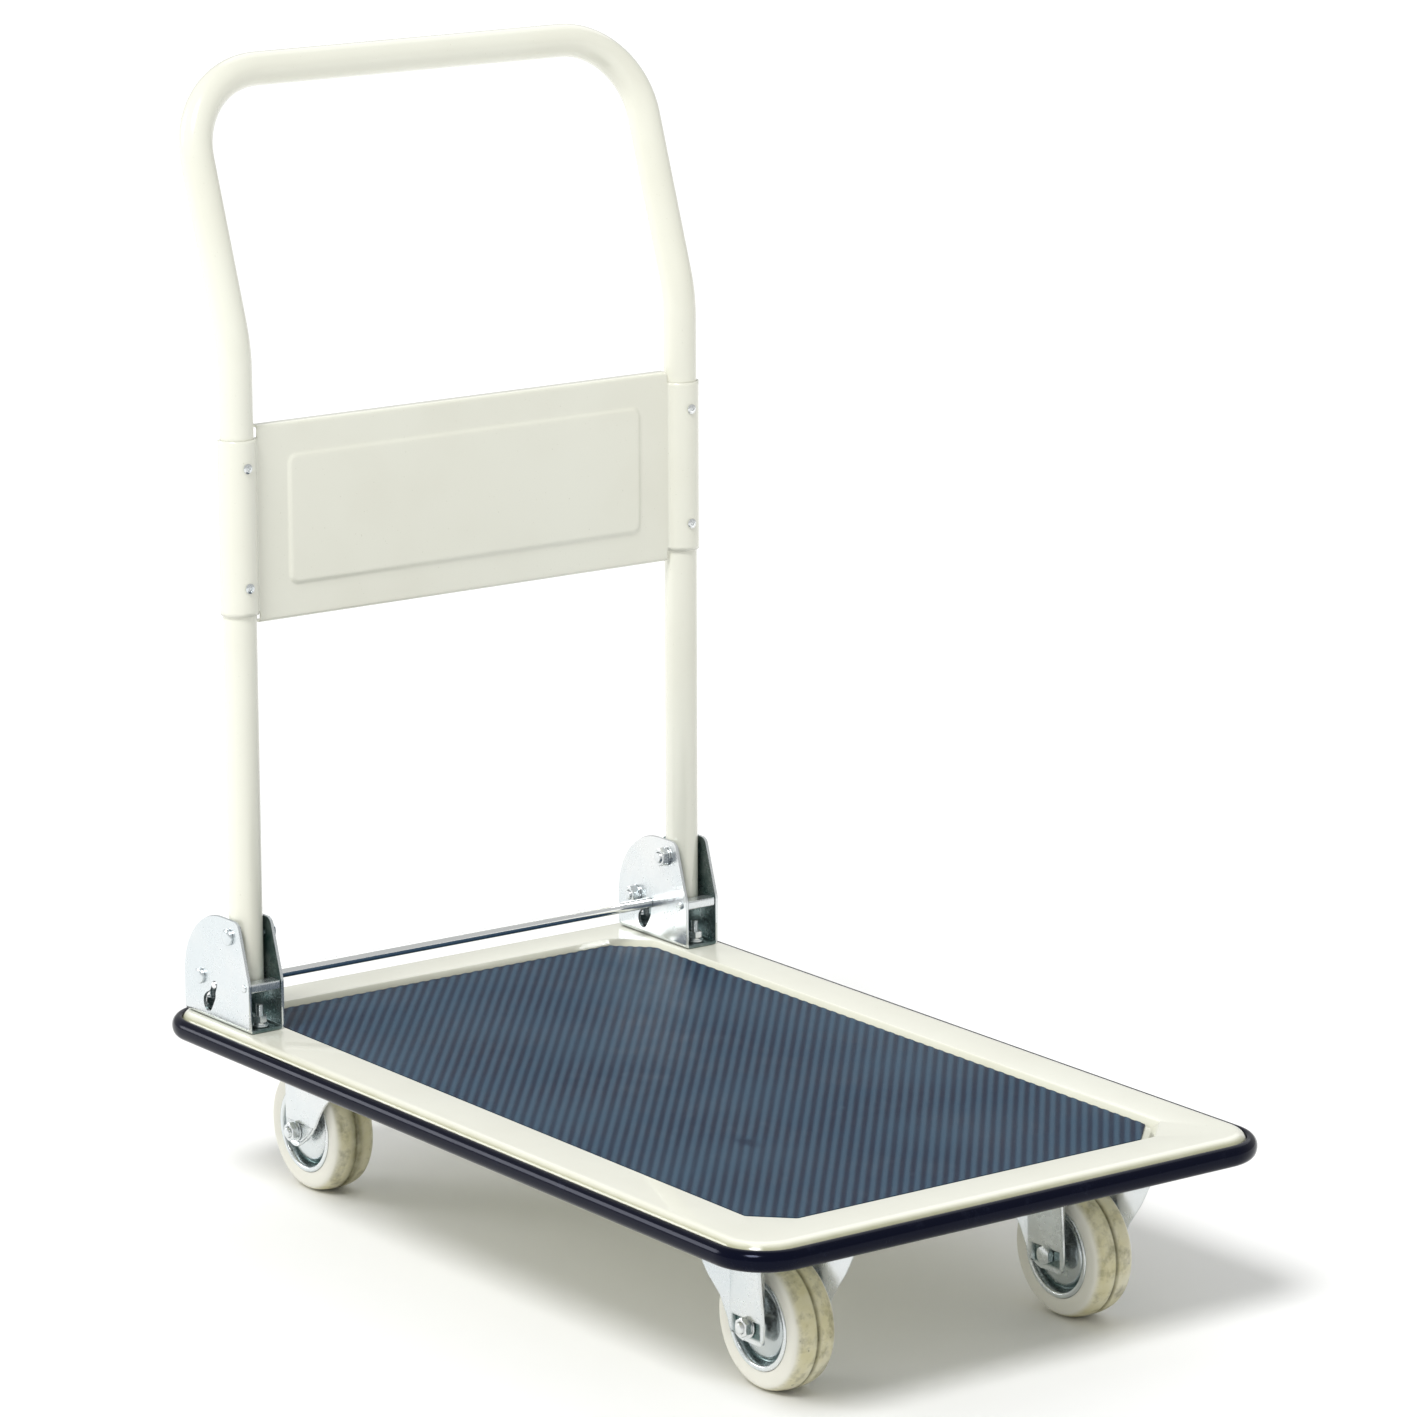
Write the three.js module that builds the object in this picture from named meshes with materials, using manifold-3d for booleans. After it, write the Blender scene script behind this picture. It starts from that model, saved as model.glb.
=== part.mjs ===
// Folding platform cart: a pressed steel deck on four casters with a folding loop handle.
// Millimetres, +Z up, +X towards the end away from the handle, ground at Z = 0.
import * as THREE from 'three';
import { mergeVertices } from 'three/addons/utils/BufferGeometryUtils.js';
import Module from 'manifold-3d';

const wasm = await Module();
wasm.setup();

const FIT_GAP = 0.3;

const DECK_LENGTH = 780;
const DECK_WIDTH = 480;
const DECK_TOP_Z = 145;
const DECK_CORNER_RADIUS = 43;
const SHEET = 1.8;
const EDGE_ROLL = 8;
const BUMPER_DEPTH = 8;
const SKIRT_BOTTOM_Z = 126.5;
const RECESS_HALF_X = 341;
const RECESS_HALF_Y = 189;
const RECESS_DEPTH = 5;
const RECESS_SLOPE = 6;
const RECESS_CHAMFER = 26.5;
const MAT_HALF_X = 332;
const MAT_HALF_Y = 182;
const MAT_CHAMFER = 27;
const MAT_THICKNESS = 2;

const CHANNEL_HALF_X = 56;
const CHANNEL_HALF_Y = 196;
const CHANNEL_WALL = 2;

const SIDE_Y = 206.5;
const PIVOT_X = -302;
const PIVOT_Z = 217;
const CHEEK_THICKNESS = 2.5;
const BRACKET_HALF_WIDTH = 15.9;
const BRACKET_REAR_X = -367.2;
const BRACKET_FRONT_X = -274.7;
const BRACKET_TOP_Z = 230.5;
const REAR_BOLT_X = -343.5;
const REAR_BOLT_Z = 177.5;
const ROD_REST_X = -324;
const ROD_REST_Z = 174;
const ROD_RADIUS = 4.3;
const ROD_END_RADIUS = 3;
const DECK_BOLT_XS = [-284.5, -352];

const TUBE_RADIUS = 13;
const TUBE_WALL = 1.6;
const TUBE_END_Z = 176.5;
const BEND_START_Z = 652.6;
const BEND_RADIUS = 110;
const BEND_DEG = 19;
const SLOPE_LENGTH = 126.5;
const LOOP_CORNER_RADIUS = 65.7;

const PANEL_BACK_X = -299.2;
const PANEL_SHEET = 1.6;
const PANEL_HALF_Y = 190;
const PANEL_BOTTOM_Z = 462;
const PANEL_TOP_Z = 612.5;
const SLEEVE_BOTTOM_Z = 469.5;
const SLEEVE_TOP_Z = 604.5;
const SLEEVE_INNER = 13.3;
const SLEEVE_OUTER = 14.7;
const SCREW_ZS = [490, 582];

const CASTER_X = 281;
const CASTER_Y = 136;
const TRAIL = 27;
const WHEEL_RADIUS = 50;
const WHEEL_HALF_WIDTH = 17.5;
const TYRE_BORE = 34.5;
const PLATE_TOP_Z = 127.7;
const PLATE_THICKNESS = 3;
const LEG_INNER = 22.2;
const LEG_OUTER = 24.7;
const AXLE_RADIUS = 4;

const cream = { color: 0xe6e5d6, roughness: 0.35, metalness: 0.0 };
const zinc = { color: 0xc9d0d2, roughness: 0.3, metalness: 0.9 };
const chrome = { color: 0xd8dde0, roughness: 0.12, metalness: 1.0 };
const navyRubber = { color: 0x14172b, roughness: 0.3, metalness: 0.0 };
const slateRubber = { color: 0x3d4a5c, roughness: 0.6, metalness: 0.0 };
const tyreCream = { color: 0xd9d6c2, roughness: 0.6, metalness: 0.0 };
const darkSteel = { color: 0x7d8388, roughness: 0.45, metalness: 0.9 };

const cart = new THREE.Group();
cart.name = 'folding_platform_cart';

function addPiece(name, geometry, look) {
  const mesh = new THREE.Mesh(geometry, new THREE.MeshStandardMaterial(look));
  mesh.name = name;
  cart.add(mesh);
}

// A bare solid holding only welded positions.
function solid(geometry) {
  const bare = new THREE.BufferGeometry();
  const source = geometry.index ? geometry.toNonIndexed() : geometry;
  bare.setAttribute('position', source.getAttribute('position').clone());
  const welded = mergeVertices(bare, 1e-4);
  const corners = new Uint32Array(welded.index.array);
  const build = () => new wasm.Manifold(new wasm.Mesh({
    numProp: 3,
    vertProperties: new Float32Array(welded.getAttribute('position').array),
    triVerts: corners,
  }));
  const body = build();
  if (body.volume() > 0) {
    return body;
  }
  for (let i = 0; i < corners.length; i += 3) {
    const keep = corners[i + 1];
    corners[i + 1] = corners[i + 2];
    corners[i + 2] = keep;
  }
  return build();
}

function fromSolid(body) {
  const mesh = body.getMesh();
  const count = mesh.vertProperties.length / mesh.numProp;
  const positions = new Float32Array(count * 3);
  for (let i = 0; i < count; i += 1) {
    positions[i * 3] = mesh.vertProperties[i * mesh.numProp];
    positions[i * 3 + 1] = mesh.vertProperties[i * mesh.numProp + 1];
    positions[i * 3 + 2] = mesh.vertProperties[i * mesh.numProp + 2];
  }
  const geometry = new THREE.BufferGeometry();
  geometry.setAttribute('position', new THREE.BufferAttribute(positions, 3));
  geometry.setIndex(Array.from(mesh.triVerts));
  geometry.computeVertexNormals();
  return geometry;
}

function fuse(parts, cuts = []) {
  let body = solid(parts[0]);
  for (const part of parts.slice(1)) {
    body = body.add(solid(part));
  }
  for (const tool of cuts) {
    body = body.subtract(solid(tool));
  }
  return fromSolid(body);
}

function box(x0, x1, y0, y1, z0, z1) {
  const geometry = new THREE.BoxGeometry(x1 - x0, y1 - y0, z1 - z0);
  geometry.translate((x0 + x1) / 2, (y0 + y1) / 2, (z0 + z1) / 2);
  return geometry;
}

// A round bar along Y between two Y values.
function barY(radius, x, z, y0, y1, sides = 12) {
  const geometry = new THREE.CylinderGeometry(radius, radius, y1 - y0, sides);
  geometry.translate(x, (y0 + y1) / 2, z);
  return geometry;
}

// A round bar along Z between two Z values.
function barZ(radius, x, y, z0, z1, sides = 12) {
  const geometry = new THREE.CylinderGeometry(radius, radius, z1 - z0, sides);
  geometry.rotateX(Math.PI / 2);
  geometry.translate(x, y, (z0 + z1) / 2);
  return geometry;
}

// A plate outlined in X and Z, extruded between two Y values.
function plateXZ(outline, y0, y1) {
  const shape = new THREE.Shape(outline.map(([x, z]) => new THREE.Vector2(x, z)));
  const geometry = new THREE.ExtrudeGeometry(shape, { depth: y1 - y0, bevelEnabled: false });
  geometry.rotateX(Math.PI / 2);
  geometry.translate(0, y1, 0);
  return geometry;
}

// A plate outlined in X and Y, extruded between two Z values.
function plateXY(outline, z0, z1) {
  const shape = new THREE.Shape(outline.map(([x, y]) => new THREE.Vector2(x, y)));
  const geometry = new THREE.ExtrudeGeometry(shape, { depth: z1 - z0, bevelEnabled: false });
  geometry.translate(0, 0, z0);
  return geometry;
}

function arcPoints(cx, cz, radius, fromDeg, toDeg, steps) {
  const points = [];
  for (let i = 0; i <= steps; i += 1) {
    const angle = ((fromDeg + (toDeg - fromDeg) * i / steps) * Math.PI) / 180;
    points.push([cx + radius * Math.cos(angle), cz + radius * Math.sin(angle)]);
  }
  return points;
}

// Turned body about Y: profile rows are [radius, y], closed by the caller.
function turnedY(profile, x, y, z, segments) {
  const points = profile.map(([radius, along]) => new THREE.Vector2(radius, along));
  const geometry = new THREE.LatheGeometry(points, segments);
  geometry.translate(x, y, z);
  return geometry;
}

// One loop of a rounded or chamfered rectangle, five points at each corner.
function loopPoints(halfX, halfY, corner, z, chamfered) {
  const points = [];
  const steps = 4;
  for (const [sx, sy, start] of [[1, 1, 0], [-1, 1, 90], [-1, -1, 180], [1, -1, 270]]) {
    for (let i = 0; i <= steps; i += 1) {
      const t = i / steps;
      if (chamfered) {
        const alongFirst = sx * sy > 0;
        const a = alongFirst ? t : 1 - t;
        points.push([sx * (halfX - corner * a), sy * (halfY - corner * (1 - a)), z]);
      } else {
        const angle = ((start + 90 * t) * Math.PI) / 180;
        const cx = sx * (halfX - corner);
        const cy = sy * (halfY - corner);
        points.push([cx + corner * Math.cos(angle), cy + corner * Math.sin(angle), z]);
      }
    }
  }
  return points;
}

// Skin joining successive loops; closed into a ring, or capped at both ends.
function loftLoops(loops, ring) {
  const n = loops[0].length;
  const flat = loops.flat(2);
  const index = [];
  const last = ring ? loops.length : loops.length - 1;
  for (let r = 0; r < last; r += 1) {
    const a = r * n;
    const b = ((r + 1) % loops.length) * n;
    for (let i = 0; i < n; i += 1) {
      const j = (i + 1) % n;
      index.push(a + i, b + i, b + j, a + i, b + j, a + j);
    }
  }
  if (!ring) {
    for (let i = 1; i < n - 1; i += 1) {
      index.push(0, i, i + 1);
      const top = (loops.length - 1) * n;
      index.push(top, top + i + 1, top + i);
    }
  }
  const geometry = new THREE.BufferGeometry();
  geometry.setAttribute('position', new THREE.Float32BufferAttribute(flat, 3));
  geometry.setIndex(index);
  return geometry;
}

function buildDeck() {
  const panX = DECK_LENGTH / 2 - BUMPER_DEPTH;
  const panY = DECK_WIDTH / 2 - BUMPER_DEPTH;
  const panR = DECK_CORNER_RADIUS - BUMPER_DEPTH;
  const floorZ = DECK_TOP_Z - RECESS_DEPTH;
  const inset = (d, z) => loopPoints(panX - d, panY - d, Math.max(panR - d, 2), z, false);
  const recess = (d, z) => loopPoints(RECESS_HALF_X - d, RECESS_HALF_Y - d, RECESS_CHAMFER - d * 0.42, z, true);
  const loops = [recess(RECESS_SLOPE, floorZ), recess(0, DECK_TOP_Z), inset(EDGE_ROLL, DECK_TOP_Z)];
  for (const deg of [35, 90]) {
    const a = (deg * Math.PI) / 180;
    loops.push(inset(EDGE_ROLL * (1 - Math.sin(a)), DECK_TOP_Z - EDGE_ROLL * (1 - Math.cos(a))));
  }
  loops.push(inset(0, SKIRT_BOTTOM_Z), inset(SHEET, SKIRT_BOTTOM_Z));
  for (const deg of [90, 40, 0]) {
    const a = (deg * Math.PI) / 180;
    const inner = EDGE_ROLL - SHEET;
    loops.push(inset(EDGE_ROLL - inner * Math.sin(a), DECK_TOP_Z - EDGE_ROLL + inner * Math.cos(a)));
  }
  loops.push(recess(-0.8, DECK_TOP_Z - SHEET), recess(RECESS_SLOPE - 0.8, floorZ - SHEET));
  const pan = loftLoops(loops, false);
  const holes = [];
  for (const side of [-1, 1]) {
    for (const x of DECK_BOLT_XS) {
      holes.push(barZ(3.4, x, side * SIDE_Y, DECK_TOP_Z - 8, DECK_TOP_Z + 5, 12));
    }
  }
  addPiece('deck_pan', fuse([pan], holes), cream);

  const rows = [[0.3, 140.6], [3.4, 141.6], [6.6, 139.4], [8, 134], [6.6, 128.6], [3.4, 126.4], [0.3, 127]];
  const ringLoops = rows.map(([d, z]) => loopPoints(panX + d, panY + d, panR + d, z, false));
  addPiece('bumper_strip', loftLoops(ringLoops, true), navyRubber);

  const matZ = floorZ + FIT_GAP;
  const corners = [];
  for (const [sx, sy] of [[1, 1], [-1, 1], [-1, -1], [1, -1]]) {
    const one = [sx * MAT_HALF_X, sy * (MAT_HALF_Y - MAT_CHAMFER)];
    const two = [sx * (MAT_HALF_X - MAT_CHAMFER), sy * MAT_HALF_Y];
    corners.push(...(sx * sy > 0 ? [one, two] : [two, one]));
  }
  addPiece('deck_mat', plateXY(corners, matZ, matZ + MAT_THICKNESS), slateRubber);

  const topZ = floorZ - SHEET - FIT_GAP;
  const lowZ = PLATE_TOP_Z + FIT_GAP;
  for (const [tag, cx] of [['front', CASTER_X], ['rear', -CASTER_X]]) {
    const w = CHANNEL_HALF_X;
    const t = CHANNEL_WALL;
    const outline = [[-w, topZ], [-w, lowZ + 3], [-w + 3, lowZ], [w - 3, lowZ], [w, lowZ + 3], [w, topZ],
      [w - t, topZ], [w - t, lowZ + 4], [w - 4, lowZ + t], [-w + 4, lowZ + t], [-w + t, lowZ + 4], [-w + t, topZ]];
    const bar = plateXZ(outline.map(([x, z]) => [x + cx, z]), -CHANNEL_HALF_Y, CHANNEL_HALF_Y);
    const holes2 = [];
    if (tag === 'rear') {
      for (const side of [-1, 1]) {
        holes2.push(barZ(8.5, cx, side * CASTER_Y, lowZ - 2, lowZ + 5, 12));
      }
    }
    addPiece(`deck_channel_${tag}`, fuse([bar], holes2), cream);
  }
}

function cheekOutline() {
  const arcRadius = 55;
  const rearArc = arcPoints(BRACKET_REAR_X + arcRadius, BRACKET_TOP_Z - arcRadius, arcRadius, 180, 90, 6);
  const nose = arcPoints(-294.5, BRACKET_TOP_Z - 7, 7, 90, 15, 3);
  const base = DECK_TOP_Z + FIT_GAP;
  return [[BRACKET_FRONT_X, base], [BRACKET_FRONT_X, 184], ...nose.reverse(), ...rearArc.reverse(),
    [BRACKET_REAR_X, base]];
}

// Pear-shaped slot: a narrow neck at the top opening into a wider window below it.
function slotTools(y0, y1) {
  const window = [[-339.6, 163], [-340.6, 157.4], [-338.6, 153], [-334, 150.4], [-329.5, 152.6], [-326, 158],
    [-322.4, 164.5], [-323.6, 167.4], [-328, 168.4], [-334, 167]];
  const neckX = ROD_REST_X;
  const neckZ = ROD_REST_Z;
  const half = 3.5;
  const neck = [];
  for (const [x, z] of arcPoints(neckX, neckZ, half, -26, 154, 5)) {
    neck.push([x, z]);
  }
  neck.push([neckX - 3.1 - 3.6, neckZ + 1.5 - 8.2], [neckX + 3.1 - 3.6, neckZ - 1.5 - 8.2]);
  return [plateXZ(window, y0, y1), plateXZ(neck, y0, y1)];
}

function hexPrismY(acrossFlats, x, z, y0, y1) {
  const geometry = new THREE.CylinderGeometry(acrossFlats / Math.sqrt(3), acrossFlats / Math.sqrt(3), y1 - y0, 6);
  geometry.translate(x, (y0 + y1) / 2, z);
  return geometry;
}

function hexPrismZ(acrossFlats, x, y, z0, z1) {
  return barZ(acrossFlats / Math.sqrt(3), x, y, z0, z1, 6);
}

function ordered(a, b) {
  return a < b ? [a, b] : [b, a];
}

function buildBracket(tag, side) {
  const outer = side * (SIDE_Y + BRACKET_HALF_WIDTH);
  const inner = side * (SIDE_Y - BRACKET_HALF_WIDTH);
  const outerCheek = ordered(outer, outer - side * CHEEK_THICKNESS);
  const innerCheek = ordered(inner, inner + side * CHEEK_THICKNESS);
  const [low, high] = ordered(inner, outer);
  const baseZ = DECK_TOP_Z + FIT_GAP;
  const outline = cheekOutline();
  const tools = [
    barY(4.5, PIVOT_X, PIVOT_Z, low - 1, high + 1, 12),
    barY(3.9, REAR_BOLT_X, REAR_BOLT_Z, low - 1, high + 1, 12),
    barY(2.8, -281.3, 180.5, low - 1, high + 1, 10),
    ...slotTools(low - 1, high + 1),
  ];
  for (const x of DECK_BOLT_XS) {
    tools.push(barZ(3.4, x, side * SIDE_Y, baseZ - 1, baseZ + 4, 12));
  }
  const channel = fuse([
    plateXZ(outline, ...outerCheek),
    plateXZ(outline, ...innerCheek),
    box(BRACKET_REAR_X, BRACKET_FRONT_X, low + 0.5, high - 0.5, baseZ, baseZ + CHEEK_THICKNESS),
  ], tools);
  addPiece(`hinge_bracket_${tag}`, channel, zinc);

  const reach = BRACKET_HALF_WIDTH - CHEEK_THICKNESS - FIT_GAP;
  addPiece(`stop_bar_${tag}`, fuse([
    box(-287.3, -275.4, side * SIDE_Y - reach, side * SIDE_Y + reach, 177.2, 184),
    barY(2.4, -281.3, 180.5, side * SIDE_Y - 16.6, side * SIDE_Y + 16.6, 10),
  ]), zinc);

  const bolts = [['pivot', PIVOT_X, PIVOT_Z, 4, 13], ['rear', REAR_BOLT_X, REAR_BOLT_Z, 3.5, 12]];
  for (const [kind, x, z, radius, flats] of bolts) {
    const headFace = outer + side * FIT_GAP;
    const tipY = inner - side * 8.5;
    addPiece(`${kind}_bolt_${tag}`, fuse([
      barY(6.5, x, z, ...ordered(headFace, headFace + side * 3.6), 12),
      barY(radius, x, z, ...ordered(tipY, headFace + side * 0.5), 12),
    ]), zinc);
    const nutFace = inner - side * FIT_GAP;
    addPiece(`${kind}_nut_${tag}`, fuse([
      barY(7.4, x, z, ...ordered(nutFace, nutFace - side * 1.2), 12),
      hexPrismY(flats, x, z, ...ordered(nutFace - side * 1.0, nutFace - side * 6.6)),
    ], [barY(radius + FIT_GAP, x, z, ...ordered(nutFace + side, nutFace - side * 8), 12)]), zinc);
  }

  DECK_BOLT_XS.forEach((x, i) => {
    const place = i === 0 ? 'front' : 'rear';
    const y = side * SIDE_Y;
    const underZ = DECK_TOP_Z - SHEET - FIT_GAP;
    const washerZ = baseZ + CHEEK_THICKNESS + FIT_GAP;
    addPiece(`deck_bolt_${place}_${tag}`, fuse([
      hexPrismZ(10, x, y, underZ - 4, underZ),
      barZ(3, x, y, underZ - 0.5, 165.5, 12),
    ]), zinc);
    addPiece(`deck_nut_${place}_${tag}`, fuse([
      barZ(7, x, y, washerZ, washerZ + 1.4, 12),
      barZ(5.2, x, y, washerZ + 1.2, washerZ + 3.2, 8),
      hexPrismZ(10, x, y, washerZ + 3, washerZ + 8.6),
    ], [barZ(3.3, x, y, washerZ - 1, washerZ + 10, 12)]), zinc);
  });

  addPiece(`return_spring_${tag}`, buildSpring(side), darkSteel);
}

// Torsion spring: a five-turn coil on the rear bolt with one leg down to the base and one to the rod.
class SpringPath extends THREE.Curve {
  constructor(side) {
    super();
    this.side = side;
  }

  getPoint(t, target = new THREE.Vector3()) {
    const coil = 5.6;
    const turns = 4.25;
    const startDeg = 190;
    const legs = 0.14;
    const y0 = this.side * SIDE_Y - 8;
    const y1 = this.side * SIDE_Y + 8;
    const angleAt = (s) => ((startDeg + 360 * turns * s) * Math.PI) / 180;
    const place = (s) => [
      REAR_BOLT_X + coil * Math.cos(angleAt(s)),
      y0 + (y1 - y0) * s,
      REAR_BOLT_Z + coil * Math.sin(angleAt(s)),
    ];
    if (t < legs) {
      const [x, y, z] = place(0);
      const back = (legs - t) / legs;
      const a = angleAt(0);
      return target.set(x + Math.sin(a) * 14 * back - 1.5 * back, y, z - Math.cos(a) * 14 * back * -1);
    }
    if (t > 1 - legs) {
      const [x, y, z] = place(1);
      const on = (t - 1 + legs) / legs;
      const a = angleAt(1);
      return target.set(x - Math.sin(a) * 9 * on, y, z + Math.cos(a) * 9 * on);
    }
    const [x, y, z] = place((t - legs) / (1 - 2 * legs));
    return target.set(x, y, z);
  }
}

function buildSpring(side) {
  const wire = new THREE.Shape(arcPoints(0, 0, 1, 0, 270, 3).map(([x, y]) => new THREE.Vector2(x, y)));
  const geometry = new THREE.ExtrudeGeometry(wire, {
    steps: 46,
    bevelEnabled: false,
    extrudePath: new SpringPath(side),
  });
  return fuse([geometry]);
}

function buildRod() {
  const shoulder = SIDE_Y - BRACKET_HALF_WIDTH - 0.5;
  const tip = SIDE_Y + BRACKET_HALF_WIDTH + 1.2;
  const profile = [[0, -tip], [ROD_END_RADIUS, -tip], [ROD_END_RADIUS, -shoulder], [ROD_RADIUS, -shoulder],
    [ROD_RADIUS, shoulder], [ROD_END_RADIUS, shoulder], [ROD_END_RADIUS, tip], [0, tip]];
  addPiece('release_rod', fromSolid(solid(turnedY(profile, ROD_REST_X, 0, ROD_REST_Z, 12))), chrome);
}

// Centre line of the handle loop, from the left end up, across and down to the right end.
function handlePath() {
  const bend = (BEND_DEG * Math.PI) / 180;
  const half = [[PIVOT_X, -SIDE_Y, TUBE_END_Z], [PIVOT_X, -SIDE_Y, BEND_START_Z]];
  for (let i = 1; i <= 3; i += 1) {
    const a = (bend * i) / 3;
    half.push([PIVOT_X - BEND_RADIUS * (1 - Math.cos(a)), -SIDE_Y, BEND_START_Z + BEND_RADIUS * Math.sin(a)]);
  }
  const [bx, , bz] = half[half.length - 1];
  const dx = -Math.sin(bend);
  const dz = Math.cos(bend);
  half.push([bx + dx * SLOPE_LENGTH, -SIDE_Y, bz + dz * SLOPE_LENGTH]);
  const [sx, , sz] = half[half.length - 1];
  for (let i = 1; i <= 5; i += 1) {
    const a = (Math.PI / 2) * (i / 5);
    const rise = LOOP_CORNER_RADIUS * Math.sin(a);
    half.push([sx + dx * rise, -SIDE_Y + LOOP_CORNER_RADIUS * (1 - Math.cos(a)), sz + dz * rise]);
  }
  const mirrored = half.map(([x, y, z]) => [x, -y, z]).reverse();
  return [...half, ...mirrored].map(([x, y, z]) => new THREE.Vector3(x, y, z));
}

// Sweep of a ring along a polyline, mitred at each point; hollow when an inner radius is given.
function sweepRing(path, outerRadius, innerRadius, sides) {
  const loops = [];
  const build = (radius, order) => {
    for (const i of order) {
      const before = path[Math.max(i - 1, 0)];
      const after = path[Math.min(i + 1, path.length - 1)];
      const here = path[i];
      const inDir = here.clone().sub(before);
      const outDir = after.clone().sub(here);
      if (inDir.length() < 1e-9) inDir.copy(outDir);
      if (outDir.length() < 1e-9) outDir.copy(inDir);
      inDir.normalize();
      outDir.normalize();
      const tangent = inDir.clone().add(outDir).normalize();
      const stretch = 1 / Math.max(tangent.dot(inDir), 0.5);
      const turn = inDir.clone().cross(outDir);
      const bendSide = turn.length() > 1e-6 ? turn.clone().cross(tangent).normalize() : null;
      const reference = new THREE.Vector3(-Math.cos(0.33), 0, -Math.sin(0.33));
      const first = reference.clone().sub(tangent.clone().multiplyScalar(reference.dot(tangent))).normalize();
      const second = tangent.clone().cross(first).normalize();
      const loop = [];
      for (let k = 0; k < sides; k += 1) {
        const angle = (-2 * Math.PI * (k + 0.5)) / sides;
        const spoke = first.clone().multiplyScalar(Math.cos(angle) * radius)
          .add(second.clone().multiplyScalar(Math.sin(angle) * radius));
        if (bendSide) {
          spoke.add(bendSide.clone().multiplyScalar(spoke.dot(bendSide) * (stretch - 1)));
        }
        const point = here.clone().add(spoke);
        loop.push([point.x, point.y, point.z]);
      }
      loops.push(loop);
    }
  };
  const forward = path.map((_, i) => i);
  build(outerRadius, forward);
  if (innerRadius) {
    build(innerRadius, forward.slice().reverse());
  }
  return loftLoops(loops, Boolean(innerRadius));
}

function buildHandle() {
  const tube = sweepRing(handlePath(), TUBE_RADIUS, TUBE_RADIUS - TUBE_WALL, 12);
  const bores = [-1, 1].map((side) => barY(4.5, PIVOT_X, PIVOT_Z, ...ordered(side * 185, side * 228), 12));
  addPiece('handle_tube', fuse([tube], bores), cream);

  const front = PANEL_BACK_X + PANEL_SHEET;
  const parts = [
    box(PANEL_BACK_X, front, -PANEL_HALF_Y, PANEL_HALF_Y, PANEL_BOTTOM_Z, PANEL_TOP_Z),
    box(PANEL_BACK_X, front, -193, 193, SLEEVE_BOTTOM_Z, SLEEVE_TOP_Z),
    box(front - 0.6, front + 1.4, -163, 163, 487, 585.5),
    box(PANEL_BACK_X - 8, front, -PANEL_HALF_Y + 2, PANEL_HALF_Y - 2, PANEL_TOP_Z - PANEL_SHEET, PANEL_TOP_Z),
    box(PANEL_BACK_X - 8, front, -PANEL_HALF_Y + 2, PANEL_HALF_Y - 2, PANEL_BOTTOM_Z,
      PANEL_BOTTOM_Z + PANEL_SHEET),
  ];
  for (const side of [-1, 1]) {
    const cy = side * SIDE_Y;
    const outerArc = arcPoints(PIVOT_X, cy, SLEEVE_OUTER, side < 0 ? 74 : -74, side < 0 ? -108 : 108, 9);
    const innerArc = arcPoints(PIVOT_X, cy, SLEEVE_INNER, side < 0 ? -108 : 108, side < 0 ? 74 : -74, 9);
    const ring = [...outerArc, ...innerArc];
    parts.push(plateXY(side < 0 ? ring.reverse() : ring, SLEEVE_BOTTOM_Z, SLEEVE_TOP_Z));
  }
  addPiece('handle_panel', fuse(parts), cream);

  for (const [tag, side] of [['left', -1], ['right', 1]]) {
    SCREW_ZS.forEach((z, i) => {
      const head = new THREE.CylinderGeometry(2.6, 3.8, 1.8, 12);
      head.rotateZ(-Math.PI / 2);
      head.translate(PIVOT_X + SLEEVE_OUTER + FIT_GAP + 0.9, side * SIDE_Y, z);
      addPiece(`panel_screw_${i === 0 ? 'low' : 'high'}_${tag}`, head, zinc);
    });
  }
}

function buildWheel(prefix, x, y) {
  const w = WHEEL_HALF_WIDTH;
  const r = WHEEL_RADIUS;
  const tyre = [[TYRE_BORE, -w + 0.6], [r - 7, -w], [r - 2.4, -w + 3.4], [r, -w + 10], [r, w - 10],
    [r - 2.4, w - 3.4], [r - 7, w], [TYRE_BORE, w - 0.6], [TYRE_BORE, -w + 0.6]];
  addPiece(`${prefix}_tyre`, turnedY(tyre, x, y, r, 20), tyreCream);
  const rim = TYRE_BORE - FIT_GAP;
  const hub = [[AXLE_RADIUS + FIT_GAP, -w - 3], [9, -w - 3], [22, -w + 7.5], [29, -w + 7.5],
    [rim - 2.5, -w - 0.4], [rim, -w - 0.4], [rim, w + 0.4], [rim - 2.5, w + 0.4], [29, w - 7.5], [22, w - 7.5],
    [9, w + 3], [AXLE_RADIUS + FIT_GAP, w + 3], [AXLE_RADIUS + FIT_GAP, -w - 3]];
  addPiece(`${prefix}_hub`, turnedY(hub, x, y, r, 20), zinc);
}

function buildAxle(prefix, x, y, side) {
  const z = WHEEL_RADIUS;
  const headFace = y - side * (LEG_OUTER + FIT_GAP);
  const nutFace = y + side * (LEG_OUTER + FIT_GAP);
  const tip = nutFace + side * 9;
  addPiece(`${prefix}_axle`, fuse([
    hexPrismY(13, x, z, ...ordered(headFace, headFace - side * 5)),
    barY(AXLE_RADIUS, x, z, ...ordered(headFace - side * 0.5, tip), 12),
  ]), zinc);
  addPiece(`${prefix}_axle_nut`, fuse([
    hexPrismY(13, x, z, ...ordered(nutFace, nutFace + side * 6.5)),
  ], [barY(AXLE_RADIUS + FIT_GAP, x, z, ...ordered(nutFace - side, nutFace + side * 8), 12)]), zinc);
}

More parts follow.
